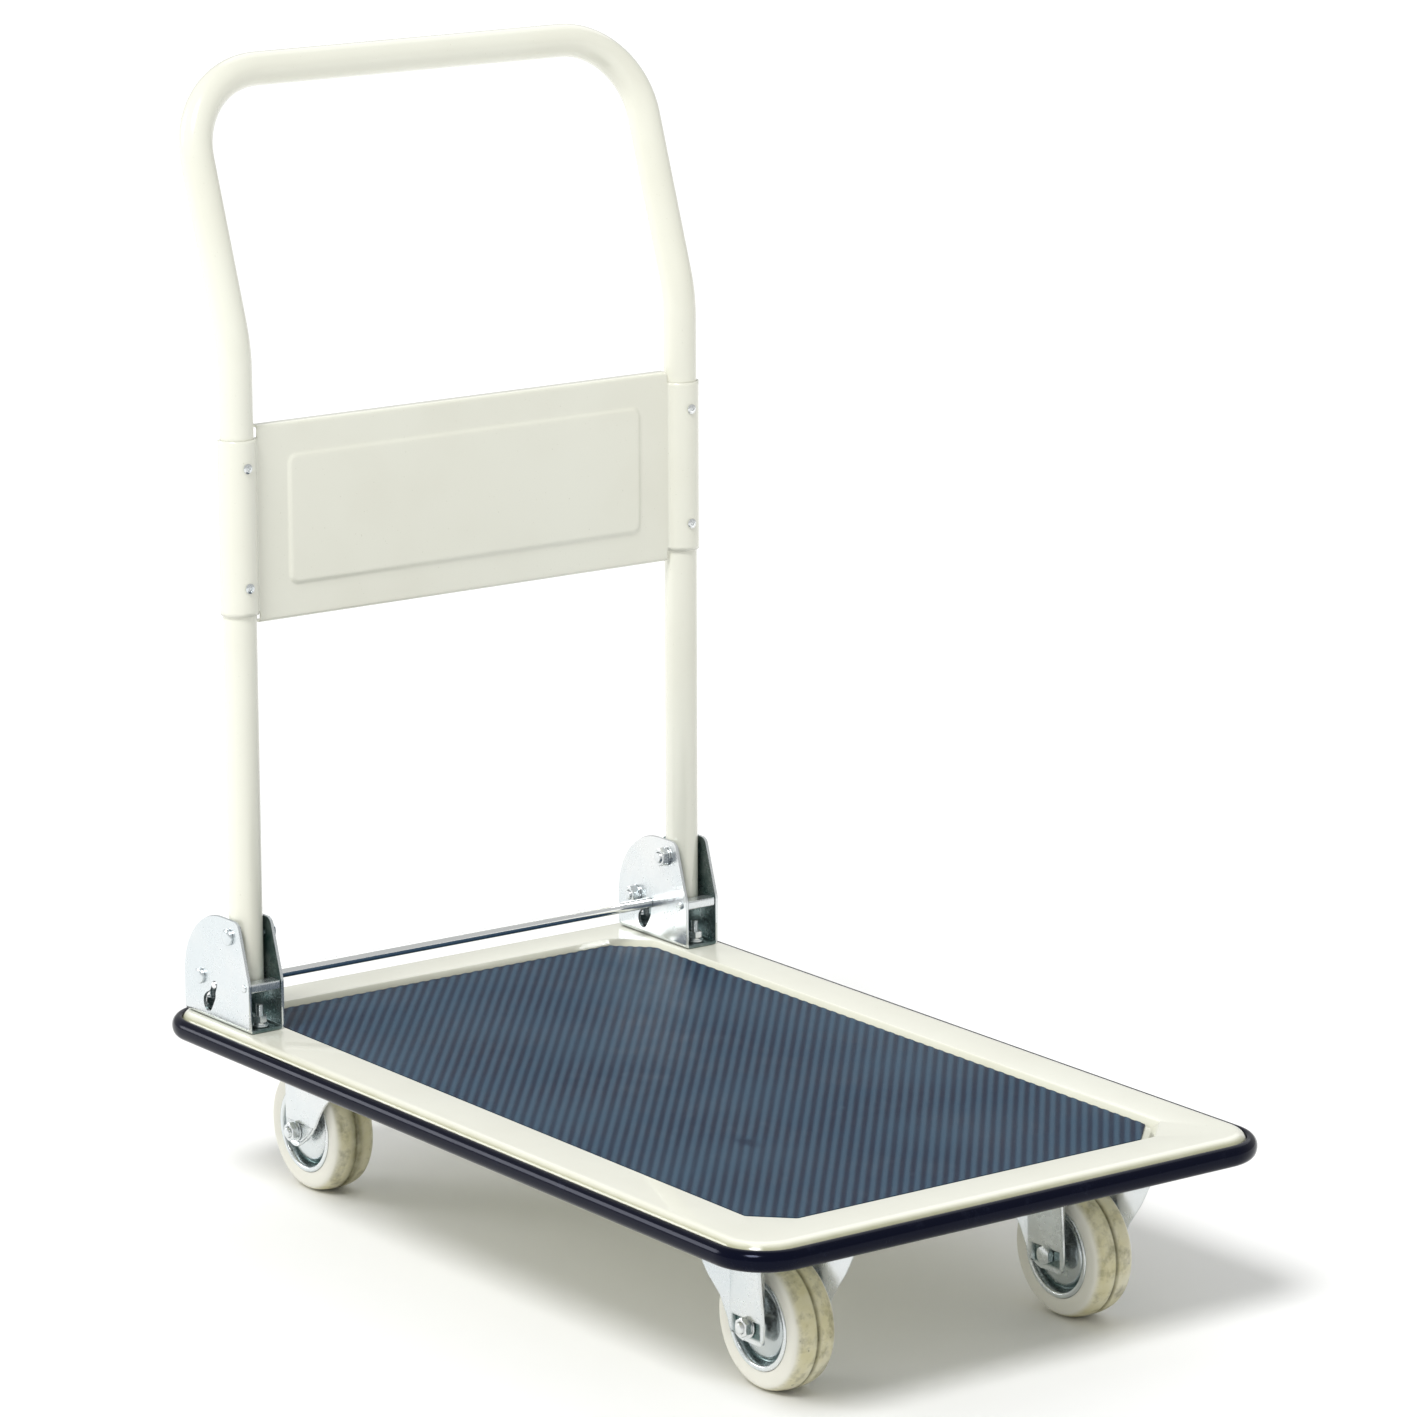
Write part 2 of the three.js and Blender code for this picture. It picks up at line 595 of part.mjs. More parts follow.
// A wing plate standing out at 45 degrees from an upright edge of a leg.
function wing(cx, cy, alongX, alongY) {
  const rows = [[3, 57], [5.5, 68], [12, 84], [17, 101], [20, 112], [20.5, PLATE_TOP_Z - PLATE_THICKNESS + 1]];
  const t = 2.4;
  const near = [];
  const far = [];
  const lowZ = 55;
  const corners = [[-1.2, lowZ], ...rows];
  for (const [d, z] of corners) {
    const x = cx + alongX * d;
    const y = cy + alongY * d;
    near.push([x + alongX * t * 0.35, y - alongY * t * 0.35, z]);
    far.push([x - alongX * t * 0.35, y + alongY * t * 0.35, z]);
  }
  const topZ = rows[rows.length - 1][1];
  near.push([cx - alongX * 1.2 + alongX * t * 0.35, cy - alongY * 1.2 - alongY * t * 0.35, topZ]);
  far.push([cx - alongX * 1.2 - alongX * t * 0.35, cy - alongY * 1.2 + alongY * t * 0.35, topZ]);
  const n = near.length;
  const index = [];
  const flip = alongX * alongY > 0;
  const push = (a, b, c) => index.push(...(flip ? [a, c, b] : [a, b, c]));
  for (let i = 1; i < n - 1; i += 1) {
    push(0, i, i + 1);
    push(n, n + i + 1, n + i);
  }
  for (let i = 0; i < n; i += 1) {
    const j = (i + 1) % n;
    push(i, n + i, n + j);
    push(i, n + j, j);
  }
  const geometry = new THREE.BufferGeometry();
  geometry.setAttribute('position', new THREE.Float32BufferAttribute([...near, ...far].flat(), 3));
  geometry.setIndex(index);
  return geometry;
}

function buildRigidCaster(tag, side) {
  const x = CASTER_X;
  const y = side * CASTER_Y;
  const prefix = `front_caster_${tag}`;
  const lowPlate = PLATE_TOP_Z - PLATE_THICKNESS;
  const half = 19;
  const drop = 12;
  const round = 11;
  const leg = [
    ...arcPoints(x - half + round, WHEEL_RADIUS - drop + round, round, 180, 270, 3),
    ...arcPoints(x + half - round, WHEEL_RADIUS - drop + round, round, 270, 360, 3),
    [x + half, lowPlate + 1], [x - half, lowPlate + 1],
  ];
  const parts = [box(x - 47, x + 47, y - 40, y + 40, lowPlate, PLATE_TOP_Z)];
  for (const dir of [-1, 1]) {
    parts.push(plateXZ(leg, ...ordered(y + dir * LEG_INNER, y + dir * LEG_OUTER)));
    for (const along of [-1, 1]) {
      parts.push(wing(x + along * (half - 0.4), y + dir * (LEG_OUTER - 1.2), along, dir));
    }
  }
  const bore = barY(AXLE_RADIUS + 0.4, x, WHEEL_RADIUS, y - 30, y + 30, 12);
  addPiece(`${prefix}_fork`, fuse(parts, [bore]), zinc);
  buildAxle(prefix, x, y, side);
  buildWheel(prefix, x, y);
}

function buildSwivelCaster(tag, side) {
  const x = -CASTER_X;
  const y = side * CASTER_Y;
  const wheelX = x - TRAIL;
  const prefix = `rear_caster_${tag}`;
  const lowPlate = PLATE_TOP_Z - PLATE_THICKNESS;
  addPiece(`${prefix}_plate`, fuse([
    box(x - 47, x + 47, y - 40, y + 40, lowPlate, PLATE_TOP_Z),
    barZ(27, x, y, lowPlate - 3.5, lowPlate + 1, 16),
  ], [barZ(5.4, x, y, lowPlate - 6, PLATE_TOP_Z + 1, 12)]), zinc);

  const crownTop = lowPlate - 3.5 - 0.6;
  const crownLow = 108;
  const legTop = crownLow + 3;
  const leg = [
    ...arcPoints(wheelX, WHEEL_RADIUS, 12, 180, 300, 6),
    [wheelX + 12, WHEEL_RADIUS - 6], [wheelX + 21, WHEEL_RADIUS + 1], [wheelX + 28, WHEEL_RADIUS + 10],
    [wheelX + 33, WHEEL_RADIUS + 19], [wheelX + 40, WHEEL_RADIUS + 29], [wheelX + 51, WHEEL_RADIUS + 39],
    [wheelX + 56, WHEEL_RADIUS + 50], [wheelX + 56, legTop], [wheelX - 12, legTop],
  ];
  const parts = [
    barZ(31, x, y, crownLow, crownTop - 4, 16),
    barZ(25.5, x, y, crownTop - 5, crownTop, 16),
    box(wheelX - 12, wheelX + 56, y - LEG_OUTER, y + LEG_OUTER, crownLow, legTop),
  ];
  for (const dir of [-1, 1]) {
    parts.push(plateXZ(leg, ...ordered(y + dir * LEG_INNER, y + dir * LEG_OUTER)));
  }
  const bore = barY(AXLE_RADIUS + 0.4, wheelX, WHEEL_RADIUS, y - 30, y + 30, 12);
  const pinBore = barZ(5.4, x, y, crownLow - 2, crownTop + 2, 12);
  addPiece(`${prefix}_fork`, fuse(parts, [bore, pinBore]), zinc);

  addPiece(`${prefix}_kingpin`, fuse([
    hexPrismZ(14, x, y, crownLow - 6, crownLow - FIT_GAP),
    barZ(5, x, y, crownLow - 1, PLATE_TOP_Z + 3, 12),
    barZ(7.6, x, y, PLATE_TOP_Z + FIT_GAP, PLATE_TOP_Z + 3.4, 12),
  ]), zinc);
  buildAxle(prefix, wheelX, y, side);
  buildWheel(prefix, wheelX, y);
}

buildDeck();
for (const [tag, side] of [['left', -1], ['right', 1]]) {
  buildBracket(tag, side);
}
buildRod();
buildHandle();
for (const [tag, side] of [['left', -1], ['right', 1]]) {
  buildRigidCaster(tag, side);
  buildSwivelCaster(tag, side);
}

export default cart;
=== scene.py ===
import math

import bpy
import numpy as np
from mathutils import Matrix, Vector


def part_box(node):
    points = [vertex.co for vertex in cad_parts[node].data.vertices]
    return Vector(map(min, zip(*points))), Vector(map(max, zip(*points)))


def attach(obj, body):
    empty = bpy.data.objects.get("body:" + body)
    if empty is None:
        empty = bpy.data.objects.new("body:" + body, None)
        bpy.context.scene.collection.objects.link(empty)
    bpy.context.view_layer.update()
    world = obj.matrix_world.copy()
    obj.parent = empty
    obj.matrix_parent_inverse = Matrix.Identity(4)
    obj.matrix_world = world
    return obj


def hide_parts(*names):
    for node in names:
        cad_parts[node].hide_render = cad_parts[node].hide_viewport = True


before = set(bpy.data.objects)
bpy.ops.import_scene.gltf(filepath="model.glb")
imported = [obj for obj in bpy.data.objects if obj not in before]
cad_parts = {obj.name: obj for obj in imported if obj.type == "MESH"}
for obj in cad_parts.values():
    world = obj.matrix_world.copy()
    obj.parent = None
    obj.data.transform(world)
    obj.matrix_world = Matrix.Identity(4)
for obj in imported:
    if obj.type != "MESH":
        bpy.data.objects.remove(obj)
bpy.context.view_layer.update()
pi = math.pi
sides = (("left", -1), ("right", 1))


# Finishes.

def addNode(tree, kind, settings=None, inputs=None):
    made = tree.nodes.new(kind)
    for key, value in (settings or {}).items():
        setattr(made, key, value)
    for key, value in (inputs or {}).items():
        if isinstance(value, bpy.types.NodeSocket):
            tree.links.new(value, made.inputs[key])
        else:
            made.inputs[key].default_value = value
    return made


def noiseOf(tree, place, scale, detail=2.0, rough=0.5):
    wanted = {"Vector": place, "Scale": scale, "Detail": detail, "Roughness": rough}
    return addNode(tree, "ShaderNodeTexNoise", None, wanted).outputs[0]


def calc(tree, operation, a, b=0.0, clamp=False):
    settings = {"operation": operation, "use_clamp": clamp}
    return addNode(tree, "ShaderNodeMath", settings, {0: a, 1: b}).outputs[0]


def span(tree, value, low, high, toLow, toHigh):
    wanted = {0: value, 1: low, 2: high, 3: toLow, 4: toHigh}
    return addNode(tree, "ShaderNodeMapRange", None, wanted).outputs[0]


def blendColour(tree, share, first, second):
    wanted = {0: share, 6: first, 7: second}
    return addNode(tree, "ShaderNodeMix", {"data_type": "RGBA"}, wanted).outputs[2]


def colour(r, g, b):
    return (r, g, b, 1.0)


def raised(tree, height, strength, depth, under=None):
    wanted = {"Height": height, "Strength": strength, "Distance": depth}
    if under is not None:
        wanted["Normal"] = under
    return addNode(tree, "ShaderNodeBump", None, wanted).outputs[0]


def newFinish(name, fixed):
    finish = bpy.data.materials.new(name)
    finish.use_nodes = True
    tree = finish.node_tree
    shader = tree.nodes["Principled BSDF"]
    for key, value in fixed.items():
        shader.inputs[key].default_value = value
    place = addNode(tree, "ShaderNodeTexCoord").outputs["Object"]
    return finish, tree, shader, place


def wire(tree, shader, **sockets):
    names = {"base": "Base Color", "rough": "Roughness", "normal": "Normal"}
    for key, socket in sockets.items():
        tree.links.new(socket, shader.inputs[names[key]])


# The olive colour is painted shade and dark reflection on the rolled edge and the recess walls.
enamelLook = {
    "light": colour(0.81, 0.81, 0.71), "warm": colour(0.795, 0.79, 0.685),
    "darkening": colour(0.34, 0.32, 0.20), "shadeColour": colour(0.36, 0.36, 0.20),
    "gloss": (0.17, 0.25), "peel": 0.010,
}


def creamEnamel(name, look):
    # Satin paint: slow colour drift, fine orange peel, sparse dust specks and faint scuffs. Where the piece's shade
    # value is high, olive is painted in as shade and dark reflection.
    finish, tree, shader, place = newFinish(name, {"IOR": 1.5, "Coat Weight": 0.6, "Coat Roughness": 0.04})
    drift = noiseOf(tree, place, 7.0, 3.0)
    base = blendColour(tree, span(tree, drift, 0.35, 0.65, 0.0, 1.0), look["light"], look["warm"])
    specks = span(tree, noiseOf(tree, place, 700.0, 1.0, 0.5), 0.76, 0.80, 0.0, 0.35)
    smears = span(tree, noiseOf(tree, place, 14.0, 2.0, 0.5), 0.50, 0.85, 0.0, 0.05)
    dirt = calc(tree, "MAXIMUM", specks, smears)
    base = blendColour(tree, dirt, base, look["darkening"])
    shade = addNode(tree, "ShaderNodeAttribute", {"attribute_name": "shade"}).outputs["Fac"]
    uneven = span(tree, noiseOf(tree, place, 40.0, 4.0, 0.6), 0.3, 0.7, 0.75, 1.0)
    base = blendColour(tree, calc(tree, "MULTIPLY", shade, uneven), base, look["shadeColour"])
    gloss = span(tree, noiseOf(tree, place, 31.0, 5.0, 0.65), 0.3, 0.7, *look["gloss"])
    peel = raised(tree, noiseOf(tree, place, 650.0, 2.0), look["peel"], 0.0006)
    wire(tree, shader, base=base, rough=gloss, normal=peel)
    return finish


# In zincLook the dark green colour is painted shade and dark reflection, for channel insides and hollows.
zincLook = {
    "cool": colour(0.69, 0.735, 0.755), "warm": colour(0.77, 0.785, 0.785), "stain": colour(0.34, 0.43, 0.41),
    "paintedShade": colour(0.006, 0.066, 0.060), "paintedShadeShare": 0.86, "gloss": (0.19, 0.32), "grainStretch": (60.0, 420.0, 60.0),
    "channelY": 0.2065, "channelHalf": 0.01365,
}


def zincPlate(name, look, channel=False):
    # Bright plating: blue and straw drift, rolled grain, dull blotches and small stains. Where the piece's shade value
    # is high, or between the cheeks of a channel, dark green is painted in as shade and dark reflection.
    finish, tree, shader, place = newFinish(name, {"Metallic": 0.88})
    drift = span(tree, noiseOf(tree, place, 16.0, 4.0, 0.6), 0.35, 0.65, 0.0, 1.0)
    base = blendColour(tree, drift, look["cool"], look["warm"])
    stain = span(tree, noiseOf(tree, place, 170.0, 5.0, 0.7), 0.70, 0.82, 0.0, 0.45)
    base = blendColour(tree, stain, base, look["stain"])
    if channel:
        split = addNode(tree, "ShaderNodeSeparateXYZ", None, {0: place})
        off = calc(tree, "ABSOLUTE", calc(tree, "SUBTRACT", calc(tree, "ABSOLUTE", split.outputs[1]), look["channelY"]))
        paintedShade = span(tree, off, look["channelHalf"], look["channelHalf"] - 0.0002, 0.0, 1.0)
    else:
        paintedShade = addNode(tree, "ShaderNodeAttribute", {"attribute_name": "shade"}).outputs["Fac"]
    uneven = span(tree, noiseOf(tree, place, 55.0, 4.0, 0.6), 0.3, 0.7, look["paintedShadeShare"] - 0.25, look["paintedShadeShare"] + 0.1)
    base = blendColour(tree, calc(tree, "MULTIPLY", paintedShade, uneven, True), base, look["paintedShade"])
    stretched = addNode(tree, "ShaderNodeMapping", None, {"Vector": place, "Scale": look["grainStretch"]}).outputs[0]
    grain = noiseOf(tree, stretched, 6.0, 3.0)
    blotch = noiseOf(tree, place, 44.0, 4.0, 0.6)
    both = calc(tree, "ADD", calc(tree, "MULTIPLY", grain, 0.35), calc(tree, "MULTIPLY", blotch, 0.65))
    gloss = span(tree, both, 0.35, 0.65, *look["gloss"])
    normal = raised(tree, grain, 0.03, 0.0003, raised(tree, noiseOf(tree, place, 1100.0, 2.0), 0.03, 0.0002))
    wire(tree, shader, base=base, rough=gloss, normal=normal)
    return finish


# The darkest colour is painted shade and dark reflection along the rod's underside.
chromeLook = {"base": colour(0.94, 0.95, 0.95), "dull": colour(0.50, 0.55, 0.57),
              "shadeColour": colour(0.09, 0.12, 0.16), "gloss": (0.06, 0.16)}


def rodChrome(name, look):
    # Polished plate with rubbed streaks along the rod, a few dull spots, and dark colour painted along its underside as
    # shade and dark reflection.
    finish, tree, shader, place = newFinish(name, {"Metallic": 1.0})
    stretched = addNode(tree, "ShaderNodeMapping", None, {"Vector": place, "Scale": (300.0, 12.0, 300.0)}).outputs[0]
    streak = noiseOf(tree, stretched, 2.0, 4.0, 0.6)
    spots = span(tree, noiseOf(tree, place, 240.0, 4.0, 0.7), 0.68, 0.80, 0.0, 0.7)
    shade = addNode(tree, "ShaderNodeAttribute", {"attribute_name": "shade"}).outputs["Fac"]
    base = blendColour(tree, shade, blendColour(tree, spots, look["base"], look["dull"]), look["shadeColour"])
    wire(tree, shader, base=base,
         rough=span(tree, streak, 0.3, 0.7, *look["gloss"]),
         normal=raised(tree, streak, 0.03, 0.0002))
    return finish


bumperLook = {
    "base": colour(0.0012, 0.0018, 0.008), "dust": colour(0.018, 0.021, 0.038), "gloss": (0.09, 0.19),
    "tint": colour(0.66, 0.72, 1.0),
}


def bumperRubber(name, look):
    # Dark glossy extrusion with dusty scuffs and a light extrusion grain.
    finish, tree, shader, place = newFinish(name, {"IOR": 1.5, "Specular IOR Level": 0.14, "Specular Tint": look["tint"]})
    scuff = span(tree, noiseOf(tree, place, 60.0, 6.0, 0.72), 0.58, 0.80, 0.0, 0.55)
    fleck = span(tree, noiseOf(tree, place, 700.0, 2.0), 0.70, 0.78, 0.0, 0.6)
    base = blendColour(tree, calc(tree, "MAXIMUM", scuff, fleck), look["base"], look["dust"])
    gloss = span(tree, noiseOf(tree, place, 26.0, 5.0, 0.65), 0.3, 0.7, *look["gloss"])
    normal = raised(tree, noiseOf(tree, place, 160.0, 4.0, 0.6), 0.06, 0.0006)
    wire(tree, shader, base=base, rough=gloss, normal=normal)
    return finish


matLook = {
    "halfX": 332.0, "halfY": 182.0, "chamfer": 27.0, "slant": 50.1, "low": 140.3, "high": 142.3,
    "pitch": 7.82, "groove": 0.4, "samples": 12, "columns": 16,
    "rib": colour(0.033, 0.071, 0.116), "gap": colour(0.004, 0.012, 0.036),
    "dust": colour(0.08, 0.13, 0.18), "rough": (0.42, 0.58), "markAt": (0.168, -0.078, 0.142), "markShape": (60.0, 110.0, 20.0),
}


def matRubber(name, look):
    # Stripes follow the ribs: a wave of x cos(slant) + y sin(slant), ribs pale and grooves dark, broken by grain.
    finish, tree, shader, place = newFinish(name, {"IOR": 1.5, "Specular IOR Level": 0.10})
    split = addNode(tree, "ShaderNodeSeparateXYZ", None, {0: place})
    turns = 2 * pi / (look["pitch"] * 0.001)
    alongX = calc(tree, "MULTIPLY", split.outputs[0], turns * math.cos(math.radians(look["slant"])))
    turn = calc(tree, "ADD", alongX, calc(tree, "MULTIPLY", split.outputs[1], turns * math.sin(math.radians(look["slant"]))))
    wobble = calc(tree, "MULTIPLY", calc(tree, "SUBTRACT", noiseOf(tree, place, 30.0, 2.0), 0.5), 0.5)
    wave = calc(tree, "SINE", calc(tree, "ADD", turn, wobble))
    fine = noiseOf(tree, place, 1500.0, 3.0, 0.7)
    grained = calc(tree, "ADD", wave, calc(tree, "MULTIPLY", calc(tree, "SUBTRACT", fine, 0.5), 3.2))
    share = span(tree, grained, -0.75, 0.75, 0.0, 1.0)
    base = blendColour(tree, share, look["gap"], look["rib"])
    cloud = span(tree, noiseOf(tree, place, 9.0, 5.0, 0.6), 0.40, 0.75, 0.0, 0.34)
    scuff = span(tree, noiseOf(tree, place, 75.0, 6.0, 0.75), 0.60, 0.80, 0.0, 0.40)
    base = blendColour(tree, calc(tree, "MAXIMUM", cloud, scuff), base, look["dust"])
    moved = addNode(tree, "ShaderNodeVectorMath", {"operation": "SUBTRACT"}, {0: place, 1: look["markAt"]}).outputs[0]
    squeezed = addNode(tree, "ShaderNodeVectorMath", {"operation": "MULTIPLY"}, {0: moved, 1: look["markShape"]}).outputs[0]
    far = addNode(tree, "ShaderNodeVectorMath", {"operation": "LENGTH"}, {0: squeezed}).outputs["Value"]
    ragged = calc(tree, "ADD", far, noiseOf(tree, place, 160.0, 3.0))
    base = blendColour(tree, span(tree, ragged, 0.8, 1.5, 0.7, 0.0), base, look["gap"])
    gloss = span(tree, noiseOf(tree, place, 18.0, 4.0, 0.6), 0.3, 0.7, *look["rough"])
    wire(tree, shader, base=base, rough=gloss, normal=raised(tree, fine, 0.35, 0.0006))
    return finish


tyreLook = {
    "clean": colour(0.83, 0.815, 0.73), "yellowed": colour(0.62, 0.575, 0.35),
    "dirt": colour(0.085, 0.076, 0.022), "speck": colour(0.05, 0.045, 0.02), "rough": (0.30, 0.5),
}


def tyreRubber(name, look):
    # Clean on the flanks, yellowed and soiled on the tread; the piece's own wear value says where the tread is.
    finish, tree, shader, place = newFinish(name, {"IOR": 1.5})
    wear = addNode(tree, "ShaderNodeAttribute", {"attribute_name": "wear"}).outputs["Fac"]
    seam = addNode(tree, "ShaderNodeAttribute", {"attribute_name": "treadMiddle"}).outputs["Fac"]
    cloud = noiseOf(tree, place, 30.0, 4.0, 0.6)
    blotch = noiseOf(tree, place, 75.0, 4.0, 0.62)
    yellow = calc(tree, "MULTIPLY", wear, span(tree, cloud, 0.25, 0.60, 0.35, 1.0), True)
    base = blendColour(tree, yellow, look["clean"], look["yellowed"])
    soil = calc(tree, "MULTIPLY", wear, span(tree, blotch, 0.46, 0.70, 0.0, 0.62), True)
    # Darker in a band along the middle of the tread, round the parting groove; its width is set per wheel.
    middleDark = calc(tree, "MULTIPLY", seam, span(tree, blotch, 0.3, 0.6, 0.55, 0.95))
    base = blendColour(tree, calc(tree, "MAXIMUM", soil, middleDark), base, look["dirt"])
    grit = span(tree, noiseOf(tree, place, 300.0, 3.0, 0.6), 0.70, 0.75, 0.0, 0.9)
    worn = calc(tree, "ADD", calc(tree, "MULTIPLY", wear, 0.85), 0.08)
    base = blendColour(tree, calc(tree, "MULTIPLY", grit, worn), base, look["speck"])
    normal = raised(tree, cloud, 0.12, 0.0008, raised(tree, noiseOf(tree, place, 620.0, 3.0), 0.08, 0.0004))
    wire(tree, shader, base=base, rough=span(tree, blotch, 0.3, 0.7, *look["rough"]), normal=normal)
    return finish


wireLook = {"base": colour(0.42, 0.44, 0.46), "oil": colour(0.12, 0.12, 0.11), "gloss": (0.25, 0.45)}


def springSteel(name, look):
    # Drawn wire with oil-dark patches.
    finish, tree, shader, place = newFinish(name, {"Metallic": 1.0})
    patch = noiseOf(tree, place, 260.0, 4.0, 0.6)
    wire(tree, shader, base=blendColour(tree, span(tree, patch, 0.45, 0.7, 0.0, 0.8), look["base"], look["oil"]),
         rough=span(tree, patch, 0.3, 0.7, *look["gloss"]),
         normal=raised(tree, noiseOf(tree, place, 1500.0, 2.0), 0.1, 0.0002))
    return finish


cream = creamEnamel("creamEnamel", enamelLook)
zinc = zincPlate("zincPlate", zincLook)
# This copy paints shade between the cheeks of the hinge-bracket channels.
zincShadedChannel = zincPlate("zincShadedChannel", zincLook, True)
chrome = rodChrome("rodChrome", chromeLook)
navy = bumperRubber("bumperRubber", bumperLook)
slate = matRubber("matRubber", matLook)
tyreSkin = tyreRubber("tyreRubber", tyreLook)
springWire = springSteel("springSteel", wireLook)
print("finishes made")


# Shape helpers: a shell is (points in millimetres, list of face tables).

def gridFaces(rows, cols, wrapRows=False, wrapCols=False):
    # Each grid point joins its neighbours in the next row and the next column.
    r, c = np.meshgrid(np.arange(rows if wrapRows else rows - 1), np.arange(cols if wrapCols else cols - 1),
                       indexing="ij")
    r2, c2 = (r + 1) % rows, (c + 1) % cols
    return np.stack([r * cols + c, r2 * cols + c, r2 * cols + c2, r * cols + c2], -1).reshape(-1, 4)


def facingOut(points, tables):
    # Six times the volume is the sum of a . (b x c) over each face's fan; if it is negative all faces turn round.
    local = points - points.mean(0)
    volume = 0.0
    for table in tables:
        for k in range(1, table.shape[1] - 1):
            a, b, c = (local[table[:, i]] for i in (0, k, k + 1))
            volume += (a * np.cross(b, c)).sum()
    return points, [t[:, ::-1] if volume < 0 else t for t in tables]


def skin(loops, ring=False):
    # Surface through successive closed loops, joined end to end as a ring or capped flat at both ends.
    loops = np.asarray(loops, float)
    rows, n = loops.shape[:2]
    tables = [gridFaces(rows, n, ring, True)]
    if not ring:
        tables += [np.arange(n)[None], ((rows - 1) * n + np.arange(n))[None, ::-1]]
    return facingOut(loops.reshape(-1, 3), tables)


def onAxis(u, v, w, centre, axis):
    # (u, v) lie across the axis and w along it.
    order = {"x": (w, u, v), "y": (u, w, v), "z": (u, v, w)}[axis]
    return np.stack(np.broadcast_arrays(*order), -1) + np.array(centre, float)


def turned(profile, segments, centre, axis, ring=False):
    # Profile rows (radius, distance) carried round the axis: (r cos t, r sin t, w). Either may vary with t.
    t = np.linspace(0, 2 * pi, segments, endpoint=False)
    r = np.stack([np.broadcast_to(row[0], segments) for row in profile])
    w = np.stack([np.broadcast_to(row[1], segments) for row in profile])
    return skin(onAxis(r * np.cos(t), r * np.sin(t), w, centre, axis), ring)


def smoothCurve(points, steps):
    # Catmull-Rom: each span is a cubic whose end slopes come from its neighbours.
    p = np.asarray(points, float)
    padded = np.vstack([2 * p[0] - p[1], p, 2 * p[-1] - p[-2]])
    s = np.linspace(0, 1, steps, endpoint=False)[:, None]
    a, b, c, d = padded[:-3, None], padded[1:-2, None], padded[2:-1, None], padded[3:, None]
    curve = 0.5 * (2 * b + (c - a) * s + (2 * a - 5 * b + 4 * c - d) * s ** 2 + (3 * b - a - 3 * c + d) * s ** 3)
    return np.vstack([curve.reshape(-1, p.shape[1]), p[-1]])


def boxLoop(halfX, halfY, corner, z, cut=False, soften=4.0, cornerSteps=16, sideSteps=10):
    # Rectangle with round corners (a 90 degree arc) or cut corners (two 45 degree arcs of the softening radius).
    loop = []
    for k in range(4):
        a = k * pi / 2
        h, w = (halfX, halfY) if k % 2 == 0 else (halfY, halfX)
        if cut:
            t = np.linspace(0, pi / 4, cornerSteps // 2)
            lean = soften * math.tan(pi / 8)
            one = np.stack([h - soften + soften * np.cos(t), w - corner - lean + soften * np.sin(t)], 1)
            two = np.stack([h - corner - lean + soften * np.cos(t + pi / 4), w - soften + soften * np.sin(t + pi / 4)], 1)
            arc = np.vstack([one, two])
        else:
            t = np.linspace(0, pi / 2, cornerSteps)
            arc = np.stack([h - corner + corner * np.cos(t), w - corner + corner * np.sin(t)], 1)
        loop.append(arc @ np.array([[math.cos(a), math.sin(a)], [-math.sin(a), math.cos(a)]]))
    full = []
    for k in range(4):
        s = np.linspace(0, 1, sideSteps + 1, endpoint=False)[1:, None]
        full += [loop[k], loop[k][-1] * (1 - s) + loop[(k + 1) % 4][0] * s]
    flat = np.vstack(full)
    return np.column_stack([flat, np.broadcast_to(z, len(flat))])


def sweep(path, radius, sidesRound, wall=None):
    # Ring carried along a line without twist; each ring lies in the plane square to the line. A wall makes a pipe.
    path = np.asarray(path, float)
    tangent = np.gradient(path, axis=0)
    tangent /= np.linalg.norm(tangent, axis=1)[:, None]
    first = np.cross(tangent[0], [0.31, 0.2, 0.93])
    if np.linalg.norm(first) < 0.2:
        first = np.cross(tangent[0], [1.0, 0.1, 0.0])
    frames = []
    for t in tangent:
        first = first - t * (first @ t)
        first /= np.linalg.norm(first)
        frames.append((first, np.cross(t, first)))
    a, b = (np.array([f[i] for f in frames])[:, None] for i in (0, 1))
    t = np.linspace(0, 2 * pi, sidesRound, endpoint=False)[None, :, None]
    spoke = a * np.cos(t) + b * np.sin(t)
    radius = np.broadcast_to(radius, len(path))[:, None, None]
    loops = path[:, None] + spoke * radius
    if wall:
        inner = path[:, None] + spoke * (radius - wall)
        loops = np.concatenate([loops, inner[::-1]])
    return skin(loops, bool(wall))


